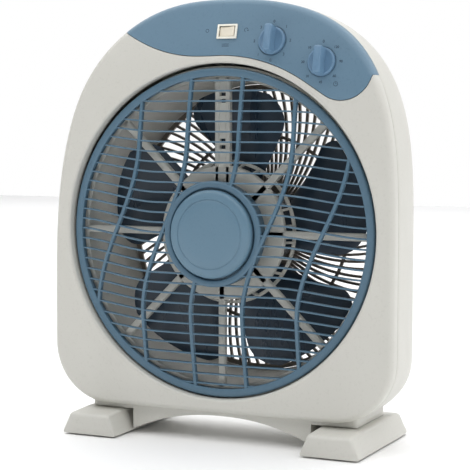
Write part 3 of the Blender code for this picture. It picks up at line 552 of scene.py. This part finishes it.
def rear_skin():
    """(inset, y, lean share) of the rear shell's outer skin, smoothly turning in towards the back."""
    joint = FACE_Y + RIM_DEPTH + 0.0006
    keys = ((0.0, joint + 0.0012, 1.0), (0.0014, 0.0, 0.55), (0.0040, 0.019, 0.3), (0.0085, 0.033, 0.15),
            (0.0150, 0.0475, 0.05), (0.0225, 0.0585, 0.0))
    points = [(0.0009, joint, 1.0), (0.0003, joint + 0.0004, 1.0)]
    for k in range(len(keys) - 1):
        before = keys[max(k - 1, 0)]
        start = keys[k]
        end = keys[k + 1]
        after = keys[min(k + 2, len(keys) - 1)]
        for step in range(4):
            t = step / 4
            points.append(tuple(spline(a, b, c, d, t) for a, b, c, d in zip(before, start, end, after)))
    return points + [(0.0225, 0.0585, 0.0), (0.0240, 0.0605, 0.0), (0.0265, 0.0622, 0.0),
                     (0.0300, BACK_Y, 0.0)]


def spline(a, b, c, d, t):
    """A Catmull-Rom value between b and c."""
    squared = (2 * a - 5 * b + 4 * c - d) * t * t
    cubed = (3 * b - a - 3 * c + d) * t ** 3
    return 0.5 * (2 * b + (c - a) * t + squared + cubed)


def rear_shell():
    rings = [outline_ring(inset, y, share, BOTTOM_DRAFT * inset) for inset, y, share in rear_skin()]
    front = SPIDER_Y + SPIDER_DEPTH + 0.0003
    duct = [(REAR_OPENING_RADIUS + 0.0022, BACK_Y), (REAR_OPENING_RADIUS + 0.0006, BACK_Y - 0.0006),
            (REAR_OPENING_RADIUS, BACK_Y - 0.0022), (REAR_OPENING_RADIUS, 0.0565), (0.1500, 0.0530),
            (0.1533, 0.0480), (0.1553, 0.0430), (DUCT_RADIUS, 0.0380), (DUCT_RADIUS, front),
            (DUCT_RADIUS + WALL, front), (DUCT_RADIUS + WALL, 0.041),
            (REAR_OPENING_RADIUS + WALL, BACK_Y - WALL)]
    rings += [circle(radius, y, OUTLINE_STEPS, (0.0, HUB_Z)) for radius, y in duct]
    joint = FACE_Y + RIM_DEPTH + 0.0006
    inner = ((0.0325, 0.0605, 0.0), (0.0235, 0.0565, 0.0), (0.0109 + WALL, 0.0400, 0.1),
             (0.0065, 0.0186, 0.3), (0.0039, 0.0, 0.55), (WALL, joint, 1.0))
    rings += [outline_ring(inset, y, share, WALL + BOTTOM_DRAFT * (inset - WALL))
              for inset, y, share in inner]
    bm = bmesh.new()
    add_loft(bm, rings, True)
    shell = mesh_object("rear_shell_skin", bm, HOUSING)
    grip_z = sum(corner[2] for corner in grip_box()) / 2
    tray = bmesh.new()
    add_block(tray, (0.106, 0.0445, 0.028), Matrix.Translation((0.0, 0.03875, grip_z)))
    cut(shell, tray, "UNION")
    pocket = bmesh.new()
    add_block(pocket, (0.100, 0.060, 0.022), Matrix.Translation((0.0, 0.0510, grip_z)), 0.0055, 5)
    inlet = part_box("cord_inlet")
    middle = ((inlet[0][0] + inlet[1][0]) / 2, (inlet[0][2] + inlet[1][2]) / 2)
    add_turned(pocket, ((0.0058, 0.050), (0.0058, 0.070)), middle, 32)
    cut(shell, pocket, "DIFFERENCE")
    return mounted(shell, "housing", "housing", "rear_shell")


def grip_box():
    """The hand grip's hollow, from the record."""
    openings = frame["record"]["physics"]["openings"]
    return next(opening["box_m"] for opening in openings if opening["name"] == "grip_pocket")


# ---------------------------------------------------------------- louver grille

def dome(radius):
    share = min(max(radius, HUB_RADIUS), RIM_INNER)
    return DOME * (1.0 - (share / RIM_INNER) ** 2) / (1.0 - (HUB_RADIUS / RIM_INNER) ** 2)


def rib_x(index, z):
    reach = min(max(z / RIB_SWING_REACH, -1.0), 1.0)
    return index * RIB_SPACING + RIB_SWING * math.sin(reach * math.pi / 2)


def slat_z(level, x):
    outward = min(max((abs(x) - 0.062) / 0.095, 0.0), 1.0)
    fade = max(math.cos(level / 0.165 * math.pi / 2), 0.0)
    return level - math.copysign(SLAT_DROP * outward * outward * (3 - 2 * outward) * fade, x)


def louver_point(x, z, forward=0.0):
    return Vector((x, RIM_FRONT_Y + 0.001 - forward - dome(math.hypot(x, z)), HUB_Z + z))


def add_runs(bm, samples, section, forward=0.0):
    """Sweeps a bar through the samples that lie between the hub and the rim, in one or two runs."""
    run = []
    for x, z in samples:
        radius = math.hypot(x, z)
        if HUB_RADIUS - 0.0015 <= radius <= RIM_INNER + 0.0015:
            run.append(louver_point(x, z, forward))
        else:
            if len(run) > 1:
                add_bar(bm, run, section)
            run = []
    if len(run) > 1:
        add_bar(bm, run, section)


def louver_grille():
    bm = bmesh.new()
    steps = 310
    reach = RIM_INNER + 0.001
    slat = bar_section(SLAT_HEIGHT, BAR_DEPTH, 0.0006)
    for k in range(SLAT_COUNT):
        level = (k - (SLAT_COUNT - 1) / 2) * SLAT_PITCH
        xs = [reach * (2 * i / steps - 1) for i in range(steps + 1)]
        add_runs(bm, [(x, slat_z(level, x)) for x in xs], slat)
    rib = bar_section(RIB_WIDTH, BAR_DEPTH + 0.0006, 0.0009)
    for index in (-2, -1, 0, 1, 2):
        zs = [reach * (2 * i / steps - 1) for i in range(steps + 1)]
        add_runs(bm, [(rib_x(index, z), z) for z in zs], rib, 0.0005)
    back = -0.0385
    ring = [(RIM_INNER, back), (RIM_INNER, RIM_FRONT_Y + 0.0012)]
    ring += [(RIM_INNER + 0.0008 * (1 - math.cos(t)), RIM_FRONT_Y + 0.0004 + 0.0008 * (1 - math.sin(t)))
             for t in [math.pi / 2 * k / 4 for k in range(5)]]
    ring += [(RIM_RADIUS - 0.0040, RIM_FRONT_Y)]
    ring += [(RIM_RADIUS - 0.0022 + 0.0022 * math.sin(t), RIM_FRONT_Y + 0.0002 + 0.0022 * (1 - math.cos(t)))
             for t in [math.pi / 2 * k / 6 for k in range(7)]]
    ring += [(RIM_RADIUS, back)]
    add_turned(bm, ring, (0.0, HUB_Z), 192, True)
    front = RIM_FRONT_Y - DOME
    flange = [(HUB_RADIUS, front + 0.0125)]
    flange += [(a, b) for a, b in arc((HUB_RADIUS - 0.0022, front + 0.0022), 0.0022, 0, -90, 6)]
    flange += [(0.0462, front + 0.0001), (0.0455, front + 0.0004), (0.0451, front + 0.0011),
               (0.0449, front + 0.0055), (0.0030, front + 0.0055), (0.0030, front + 0.0100),
               (HUB_RADIUS - 0.003, front + 0.0125)]
    add_turned(bm, flange, (0.0, HUB_Z), 128, True)
    return mounted(mesh_object("louver_blades", bm, GRILLE_BLUE, 40), "louver", "blue", "louver_grille")


def louver_cap():
    front = RIM_FRONT_Y - DOME
    profile = [(CAP_RADIUS, front + 0.0050), (CAP_RADIUS, front - 0.0012)]
    profile += arc((CAP_RADIUS - 0.0042, front - 0.0012), 0.0042, 0, -72, 8)[1:]
    profile += [(0.0375, front - 0.0059), (0.0352, front - 0.0062), (0.0343, front - 0.0062),
                (0.0338, front - 0.0056), (0.0333, front - 0.0056), (0.0328, front - 0.0060),
                (0.0318, front - 0.0064), (0.0240, front - 0.0067),
                (0.0120, front - 0.0070), (0.0010, front - 0.0071)]
    bm = bmesh.new()
    add_turned(bm, profile, (0.0, HUB_Z), 128)
    return mounted(mesh_object("louver_cap_skin", bm, CAP_BLUE, 40), "louver", "blue", "louver_cap")


# ---------------------------------------------------------------- spider, wheel and rear grille

def radial(radius, angle, y):
    return Vector((radius * math.cos(angle), y, HUB_Z + radius * math.sin(angle)))


def spider():
    bm = bmesh.new()
    front = SPIDER_Y
    back = SPIDER_Y + SPIDER_DEPTH
    plate = [(0.0050, back), (0.0050, front), (DRUM_RADIUS - 0.0010, front), (DRUM_RADIUS, front + 0.0010),
             (DRUM_RADIUS + 0.0003, back), (DRUM_RADIUS - 0.0025, back)]
    add_turned(bm, plate, (0.0, HUB_Z), 96, True)
    foot_radius = DRUM_RADIUS + DRUM_FLARE
    rim = [(foot_radius - 0.0022, DRUM_BACK_Y), (foot_radius - 0.0025, DRUM_BACK_Y - 0.0022),
           (foot_radius, DRUM_BACK_Y - 0.0022), (foot_radius + 0.0008, DRUM_BACK_Y - 0.0006),
           (foot_radius + 0.0006, DRUM_BACK_Y)]
    add_turned(bm, rim, (0.0, HUB_Z), 96, True)
    for k in range(DRUM_SLOTS):
        add_drum_web(bm, 2 * math.pi * (k + 0.5) / DRUM_SLOTS)
    land = [(0.1500, back), (0.1500, front + 0.0006), (0.1506, front), (0.1624, front),
            (0.1630, front + 0.0006), (0.1630, back)]
    add_turned(bm, land, (0.0, HUB_Z), 160, True)
    arm = bar_section(0.0075, SPIDER_DEPTH, 0.0014)
    for k in range(SPIDER_ARMS):
        if k != 2:
            angle = 2 * math.pi * k / SPIDER_ARMS
            add_bar(bm, [radial(0.045 + 0.107 * i / 8, angle, front) for i in range(9)], arm)
    channel_sides(bm)
    return mounted(mesh_object("spider_arms", bm, SPIDER_GREY), "housing", "housing", "front_spider")


def add_drum_web(bm, angle):
    """One upright between two slots in the drum's side wall."""
    start = SPIDER_Y + SPIDER_DEPTH - 0.0010
    end = DRUM_BACK_Y - 0.0012
    rings = []
    for share in (0.0, 0.5, 1.0):
        y = start + share * (end - start)
        radius = DRUM_RADIUS + DRUM_FLARE * share
        inside = radius - 0.0020
        turn = DRUM_WEB_HALF_WIDTH / radius
        rings.append([radial(inside, angle - turn, y), radial(inside, angle + turn, y),
                      radial(radius, angle + turn, y), radial(radius, angle - turn, y)])
    add_loft(bm, rings)


def channel_sides(bm):
    """The wide arm: a flat channel for the lead, with pairs of small windows along it."""
    half = 0.0165 / 2
    front = SPIDER_Y
    windows = ((0.084, 0.0035), (0.0905, 0.0035), (0.129, 0.0035), (0.1355, 0.0035))
    side = bar_section(0.0052, SPIDER_DEPTH, 0.0012)
    for x in (-half + 0.0026, half - 0.0026):
        add_bar(bm, [Vector((x, front, HUB_Z + 0.045 + 0.107 * i / 8)) for i in range(9)], side)
    middle = bar_section(0.0068, SPIDER_DEPTH - 0.0012, 0.0004, 1)
    start = 0.045
    for z, height in windows:
        add_bar(bm, [Vector((0.0, front + 0.0006, HUB_Z + z)) for z in (start, z - height / 2)], middle)
        start = z + height / 2
    add_bar(bm, [Vector((0.0, front + 0.0006, HUB_Z + z)) for z in (start, 0.152)], middle)


def blade_point(root_angle, along, across, side):
    """A point of one blade: along runs from hub to tip, across from the trailing to the leading edge."""
    radius = WHEEL_RADIUS - 0.002 + (BLADE_RADIUS - WHEEL_RADIUS + 0.002) * along
    tip = max(along - 0.72, 0.0) / 0.28
    half = BLADE_HALF_ANGLE * (0.86 + 0.30 * along) * math.sqrt(1.0 - 0.62 * tip * tip)
    angle = root_angle + 0.22 * along + across * half
    rise = BLADE_RISE * (1.05 - 0.40 * along) * across + 0.004 * across * across
    edge = math.sqrt(max(1.0 - across ** 6, 0.0)) * math.sqrt(max(1.0 - max(along - 0.9, 0.0) * 8, 0.1))
    thickness = BLADE_THICKNESS * (0.35 + 0.65 * edge)
    return radial(radius, angle, rise + (side - 0.5) * thickness)


def add_blade(bm, root_angle, rows=28, columns=24):
    sheets = []
    for side in (0, 1):
        sheets.append([[bm.verts.new(blade_point(root_angle, i / rows, 2 * j / columns - 1, side))
                        for j in range(columns + 1)] for i in range(rows + 1)])
    for sheet in sheets:
        for i in range(rows):
            for j in range(columns):
                bm.faces.new((sheet[i][j], sheet[i][j + 1], sheet[i + 1][j + 1], sheet[i + 1][j]))
    rim = [(i, 0) for i in range(rows + 1)] + [(rows, j) for j in range(1, columns + 1)]
    rim += [(i, columns) for i in range(rows - 1, -1, -1)] + [(0, j) for j in range(columns - 1, 0, -1)]
    for (a, b), (c, d) in zip(rim, rim[1:] + rim[:1]):
        bm.faces.new((sheets[0][a][b], sheets[0][c][d], sheets[1][c][d], sheets[1][a][b]))


def fan_wheel():
    bm = bmesh.new()
    front = WHEEL_Y
    profile = [(0.0043, front)]
    profile += [(WHEEL_RADIUS - 0.004 + 0.004 * math.sin(t), front + 0.004 * (1 - math.cos(t)))
                for t in [math.pi / 2 * k / 6 for k in range(7)]]
    profile += [(WHEEL_RADIUS, 0.0185), (WHEEL_RADIUS - 0.003, 0.0185),
                (WHEEL_RADIUS - 0.003, front + 0.005),
                (0.010, front + 0.004), (0.010, 0.012), (0.0043, 0.012)]
    add_turned(bm, profile, (0.0, HUB_Z), 96, True)
    for k in range(BLADE_COUNT):
        add_blade(bm, BLADE_FIRST_ANGLE + 2 * math.pi * k / BLADE_COUNT)
    return mounted(mesh_object("wheel_blades", bm, BLADE, 50), "fan", "blade", "fan_blade")


def rear_grille():
    bm = bmesh.new()
    front = GRILLE_Y
    back = GRILLE_Y + 0.0035
    for inner, outer in ((0.0060, 0.0460), (0.0945, 0.0977), (0.1425, 0.1475)):
        rim = [(inner, back), (inner, front + 0.0006), (inner + 0.0006, front), (outer - 0.0006, front),
               (outer, front + 0.0006), (outer, back - 0.0006), (outer - 0.0006, back),
               (inner + 0.0006, back)]
        add_turned(bm, rim, (0.0, HUB_Z), 128, True)
    spoke = bar_section(0.0027, 0.0033, 0.0006, 2)
    for k in range(GRILLE_SPOKES):
        path = []
        for i in range(13):
            radius = 0.0455 + (0.1430 - 0.0455) * i / 12
            swirl = GRILLE_SWIRL * (radius - 0.046) / 0.1475
            path.append(radial(radius, 2 * math.pi * k / GRILLE_SPOKES + swirl, front + 0.0001))
        add_bar(bm, path, spoke)
    # The guard is housing plastic in the housing slot, drawn in the darker colour that paints its shade
    return mounted(mesh_object("rear_guard", bm, SHADED_GUARD), "housing", "housing", "rear_grille")


# ---------------------------------------------------------------- controls

def knob(name, xz, body, node):
    """A thin disc that sits in a shallow well, with a tall rounded grip bar across it."""
    bm = bmesh.new()
    disc = [(0.0040, KNOB_WELL_DEPTH - 0.0003), (KNOB_RADIUS, KNOB_WELL_DEPTH - 0.0003)]
    disc += arc((KNOB_RADIUS - 0.0009, -0.0022), 0.0009, 0, -90, 5)
    disc += [(0.0118, -0.0032), (0.0114, -0.0029), (0.0040, -0.0029)]
    add_turned(bm, disc, (0.0, 0.0), 96, True)
    length = KNOB_RADIUS - 0.0004
    layers = ((0.0042, -0.0024, 0.0), (0.0041, -0.0100, 0.0), (0.0039, -0.0126, 0.0002),
              (0.0036, -0.0136, 0.0005), (0.0030, -0.0142, 0.0010), (0.0021, -0.0145, 0.0018))
    rings = []
    for half, y, shrink in layers:
        ends = length - shrink
        quarter = [(half * 0.92, 0.0), (half, 0.006), (half, ends - 0.0022), (half * 0.93, ends - 0.0009),
                   (half * 0.66, ends - 0.0002), (half * 0.25, ends)]
        outline = quarter + [(-x, z) for x, z in reversed(quarter)]
        outline += [(-x, -z) for x, z in quarter[1:]] + [(x, -z) for x, z in reversed(quarter[1:])]
        rings.append([Vector((x, y, z)) for x, z in outline])
    add_loft(bm, rings)
    bmesh.ops.transform(bm, matrix=panel_frame(*xz), verts=bm.verts)
    return mounted(mesh_object(name, bm, KNOB_BLUE, 40), body, "blue", node)


def switch_frame():
    matrix = panel_frame(*ROCKER_XZ)
    bm = bmesh.new()
    place = matrix @ Matrix.Translation((0.0, -0.0012, 0.0))
    add_block(bm, (FRAME_SIZE[0], 0.0018, FRAME_SIZE[1]), place, 0.0006)
    made = mesh_object("rocker_bezel", bm, IVORY)
    window = bmesh.new()
    add_block(window, (ROCKER_SIZE[0] + 0.0012, 0.04, ROCKER_SIZE[1] + 0.0012), matrix)
    cut(made, window, "DIFFERENCE")
    return mounted(made, "housing", "ivory", "rocker_frame")


def rocker():
    """A rocker with two shallow slopes that meet at a low ridge."""
    half = ROCKER_SIZE[0] / 2
    top = ROCKER_SIZE[1] / 2
    outline = [(-half, -0.0006), (-half + 0.0003, -0.0011), (-half + 0.0010, -0.0013),
               (-0.0040, -0.0010), (-0.0006, -0.0006), (0.0006, -0.0006), (0.0040, -0.0010),
               (half - 0.0010, -0.0013), (half - 0.0003, -0.0011), (half, -0.0006),
               (half - 0.0016, 0.0055), (0.0016 - half, 0.0055)]
    rings = []
    for z, shrink in ((-top, 0.0004), (-top + 0.0004, 0.0), (top - 0.0004, 0.0), (top, 0.0004)):
        rings.append([Vector((x * (1 - shrink / half), y - 0.0020 + shrink, z)) for x, y in outline])
    bm = bmesh.new()
    add_loft(bm, rings)
    pivot = panel_frame(*ROCKER_XZ) @ Matrix.Translation((0.0, 0.0020, 0.0))
    pivot = pivot @ Matrix.Rotation(-ROCKER_TILT, 4, "Z")
    bmesh.ops.transform(bm, matrix=pivot, verts=bm.verts)
    return mounted(mesh_object("rocker_key_skin", bm, ROCKER_IVORY, 40), "rocker_key", "ivory", "rocker")


def on_face(x, z):
    """A matrix that lays flat XY artwork just proud of the panel."""
    lift = Matrix.Translation((0.0, -INK_LIFT, 0.0))
    return panel_frame(x, z) @ lift @ Matrix.Rotation(math.pi / 2, 4, "X")


def add_text(bm, text, size, matrix):
    curve = bpy.data.curves.new("mark", "FONT")
    curve.body = text
    curve.size = size
    curve.align_x = "CENTER"
    curve.align_y = "CENTER"
    curve.extrude = 0.00004
    curve.offset = size * 0.012
    holder = bpy.data.objects.new("mark", curve)
    mesh = bpy.data.meshes.new_from_object(holder)
    mesh.transform(matrix)
    bm.from_mesh(mesh)
    bpy.data.objects.remove(holder, do_unlink=True)
    bpy.data.meshes.remove(mesh)
    bpy.data.curves.remove(curve)


def add_flat_ring(bm, radius, width, matrix, start=0.0, end=360.0, steps=36):
    rows = []
    for k in range(steps + 1):
        turn = math.radians(start + (end - start) * k / steps)
        rows.append([bm.verts.new(matrix @ Vector((r * math.cos(turn), r * math.sin(turn), 0.0)))
                     for r in (radius - width / 2, radius + width / 2)])
    for first, second in zip(rows, rows[1:]):
        bm.faces.new((first[0], first[1], second[1], second[0]))


def add_stroke(bm, matrix, x, y, length, width):
    corners = ((x - length / 2, y - width / 2), (x + length / 2, y - width / 2),
               (x + length / 2, y + width / 2), (x - length / 2, y + width / 2))
    bm.faces.new([bm.verts.new(matrix @ Vector((a, b, 0.0))) for a, b in corners])


def dial_marks():
    """Numbers round the two dials, and plain pictograms beside the rocker and the timer."""
    bm = bmesh.new()
    for text_set, xz, reach in ((("0", "1", "2", "3", "0", "1", "2", "3"), SPEED_XZ, 0.0187),
                                (("0", "120", "90", "60", "45", "30", "20", "10"), TIMER_XZ, 0.0192)):
        for k, text in enumerate(text_set):
            turn = math.radians(90 - 45 * k)
            x = xz[0] + reach * math.cos(turn)
            z = xz[1] + reach * math.sin(turn)
            add_text(bm, text, 0.0040 if len(text) == 1 else 0.0034, on_face(x, z))
    ring = on_face(-0.0150, 0.4030)
    add_flat_ring(bm, 0.0016, 0.0005, ring)
    sweep = on_face(0.0265, 0.4030)
    add_flat_ring(bm, 0.0019, 0.0005, sweep, -30, 250)
    add_stroke(bm, sweep, 0.0019, -0.0009, 0.0016, 0.0005)
    slats = on_face(0.0060, 0.3885)
    for row in (-0.0012, 0.0, 0.0012):
        add_stroke(bm, slats, 0.0, row, 0.0075, 0.0004)
    clock = on_face(0.1230, 0.3500)
    add_flat_ring(bm, 0.0021, 0.0004, clock)
    add_stroke(bm, clock, 0.0006, 0.0, 0.0012, 0.0004)
    add_stroke(bm, clock, 0.0, 0.0007, 0.0004, 0.0014)
    return mounted(mesh_object("dial_print", bm, INK), "housing", "blue")


# ---------------------------------------------------------------- base

def housing_bottom(x):
    dx = abs(x) - (HALF_WIDTH - CORNER_RADIUS)
    if dx <= 0.0:
        return BOTTOM_Z
    return BOTTOM_Z + CORNER_RADIUS - math.sqrt(CORNER_RADIUS ** 2 - dx ** 2)


def foot_ring(x_middle, y, grow, top_z):
    """The section of a foot: sloping sides, rounded upper edges and a small radius at the floor."""
    bottom = FOOT_HALF_BOTTOM - grow
    upper = FOOT_HALF_TOP - grow
    edge = 0.0030
    right = [(bottom - 0.0008, FOOT_BOTTOM_Z), (bottom, FOOT_BOTTOM_Z + 0.0008),
             (bottom - 0.0003, FOOT_BOTTOM_Z + 0.0030)]
    slope = [(upper + 0.0016, top_z - edge - 0.0004)]
    roll = [(upper - edge + (edge + 0.0013) * math.cos(t), top_z - edge + edge * math.sin(t))
            for t in [math.pi / 2 * k / 6 for k in range(7)]]
    side = right + slope + roll
    outline = side + [(-x, z) for x, z in reversed(side)]
    return [Vector((x_middle + x, y, z)) for x, z in outline]


def foot(name, side, node):
    half = FOOT_HALF_LENGTH
    stations = [(-half, 0.0010, FOOT_TOP_Z - 0.0066), (-half + 0.0003, 0.0005, FOOT_TOP_Z - 0.0050),
                (-half + 0.0010, 0.0002, FOOT_TOP_Z - 0.0035), (-half + 0.0022, 0.0, FOOT_TOP_Z - 0.0024),
                (-half + 0.0042, 0.0, FOOT_TOP_Z - 0.0017), (-BRIDGE_HALF_DEPTH, 0.0, FOOT_TOP_Z),
                (BRIDGE_HALF_DEPTH, 0.0, FOOT_TOP_Z), (half - 0.0120, 0.0004, FOOT_TOP_Z - 0.0014),
                (half - 0.0060, 0.0010, FOOT_TOP_Z - 0.0030), (half - 0.0020, 0.0020, FOOT_TOP_Z - 0.0056),
                (half - 0.0004, 0.0030, FOOT_TOP_Z - 0.0085), (half, 0.0040, FOOT_TOP_Z - 0.0110)]
    bm = bmesh.new()
    add_loft(bm, [foot_ring(side * FOOT_X, y, grow, top_z) for y, grow, top_z in stations])
    return mounted(mesh_object(name, bm, HOUSING, 40), "housing", "housing", node)


def arch_height(x):
    share = min(abs(x) / ARCH_HALF_SPAN, 1.0)
    return 0.0045 + 0.0205 * (1.0 - share ** 2.2)


def base_bridge():
    stations = [(x, arch_height(x)) for x in [ARCH_HALF_SPAN * (i / 32 - 1) for i in range(65)]]
    over_foot = FOOT_TOP_Z + 0.0003
    ends = [BRIDGE_HALF_WIDTH, 0.1428, 0.142, 0.139, 0.135, 0.130, 0.125, 0.118, 0.110, 0.103,
            ARCH_HALF_SPAN + 0.0003]
    stations = [(-x, over_foot) for x in ends] + stations + [(x, over_foot) for x in reversed(ends)]
    rings = []
    for x, low in stations:
        high = housing_bottom(x) - 0.0003
        edge = min(0.0016, (high - low) * 0.3)
        corner = max(BRIDGE_HALF_WIDTH - abs(x), 0.0)
        inset = 0.0025 * (1 - min(corner / 0.0025, 1.0)) ** 2
        outer = BRIDGE_HALF_DEPTH - inset
        front = [(edge - outer, low)] + [(-outer + edge * (1 - math.sin(t)), low + edge * (1 - math.cos(t)))
                                         for t in [math.pi / 2 * k / 4 for k in range(1, 5)]]
        section = front + [(-outer, high), (outer, high)] + [(-y, z) for y, z in reversed(front)]
        rings.append([Vector((x, y, z)) for y, z in section])
    bm = bmesh.new()
    add_loft(bm, rings)
    return mounted(mesh_object("bridge_skin", bm, HOUSING, 40), "housing", "housing", "base_bridge")


# ---------------------------------------------------------------- carried-over nodes

def finish_carried():
    """Gives each CAD node that stays the finished material of its slot."""
    slots = {entry["node"]: entry["material_slot"] for entry in frame["record"]["subparts"]}
    for name, node in frame["nodes"].items():
        surface = CARRIED[slots[name]]
        for k in range(len(node.data.materials)):
            node.material_slots[k].material = surface


# ---------------------------------------------------------------- stage

def add_area(name, location, target, size, energy, colour=(1.0, 1.0, 1.0)):
    data = bpy.data.lights.new(name, "AREA")
    data.shape = "RECTANGLE"
    data.size = size[0]
    data.size_y = size[1]
    data.energy = energy
    data.color = colour
    light = bpy.data.objects.new(name, data)
    light.location = location
    aim = Vector(target) - Vector(location)
    light.rotation_euler = aim.to_track_quat("-Z", "Y").to_euler()
    bpy.context.scene.collection.objects.link(light)
    return light


def studio():
    """A plain pale floor under a wide soft lamp, with a little more light from the right."""
    bm = bmesh.new()
    bmesh.ops.create_grid(bm, x_segments=1, y_segments=1, size=4.5)
    floor = mesh_object("floor", bm, paper())
    world = bpy.data.worlds.new("studio")
    bpy.context.scene.world = world
    world.use_nodes = True
    tree = world.node_tree
    background = tree.nodes["Background"]
    coords = tree.nodes.new("ShaderNodeTexCoord")
    parts = tree.nodes.new("ShaderNodeSeparateXYZ")
    tree.links.new(coords.outputs["Generated"], parts.inputs["Vector"])
    sky = add_ramp(tree, parts.outputs["Z"], 0.14, 0.55, grey(1.0), (0.30, 0.30, 0.31, 1.0))
    front = add_ramp(tree, parts.outputs["Y"], 0.0, 0.35, grey(0.36), grey(1.0))
    tree.links.new(mixed(tree, None, sky, front, "MULTIPLY"), background.inputs["Color"])
    background.inputs["Strength"].default_value = 1.0
    add_area("overhead", (-0.4, 0.5, 3.4), (-0.4, 0.5, 0.0), (9.0, 9.0), 425.0)
    add_area("key", (2.2, -0.7, 1.1), (0.0, 0.0, 0.2), (1.2, 1.4), 5.0)
    view = bpy.context.scene.view_settings
    view.view_transform = "Standard"
    view.look = "None"


def paper():
    """A matt white sweep with a faint mottle."""
    made = bpy.data.materials.new("floor_surface")
    made.use_nodes = True
    tree = made.node_tree
    shader = tree.nodes["Principled BSDF"]
    coords = tree.nodes.new("ShaderNodeTexCoord")
    cloud = add_noise(tree, coords, 3.0, 2.0)
    body = add_ramp(tree, cloud, 0.3, 0.7, grey(0.96), grey(0.98))
    tree.links.new(body, shader.inputs["Base Color"])
    shader.inputs["Roughness"].default_value = 0.6
    shader.inputs["Specular IOR Level"].default_value = 0.2
    return made


def camera():
    """To the right of the front and a little above, with a long lens."""
    azimuth, elevation, roll = (math.radians(angle) for angle in CAMERA_ANGLES)
    level_reach = math.cos(elevation)
    back = Vector((math.sin(azimuth) * level_reach, -math.cos(azimuth) * level_reach, math.sin(elevation)))
    right = Vector((math.cos(azimuth), math.sin(azimuth), 0.0))
    up = back.cross(right)
    level = math.cos(roll) * right + math.sin(roll) * up
    upright = math.cos(roll) * up - math.sin(roll) * right
    data = bpy.data.cameras.new("camera")
    data.sensor_width = 36.0
    data.lens = CAMERA_LENS
    data.shift_x, data.shift_y = CAMERA_SHIFT
    data.clip_end = 100.0
    made = bpy.data.objects.new("camera", data)
    turned = Matrix((level, upright, back)).transposed().to_4x4()
    made.matrix_world = Matrix.Translation(CAMERA_PLACE) @ turned
    bpy.context.scene.collection.objects.link(made)
    bpy.context.scene.camera = made


def main():
    finish_carried()
    front_shell()
    control_panel()
    rear_shell()
    louver_grille()
    louver_cap()
    spider()
    fan_wheel()
    rear_grille()
    knob("speed_knob_skin", SPEED_XZ, "speed_dial", "speed_knob")
    knob("timer_knob_skin", TIMER_XZ, "timer_dial", "timer_knob")
    switch_frame()
    rocker()
    dial_marks()
    foot("foot_left_skin", -1, "foot_left")
    foot("foot_right_skin", 1, "foot_right")
    base_bridge()
    studio()
    camera()


main()
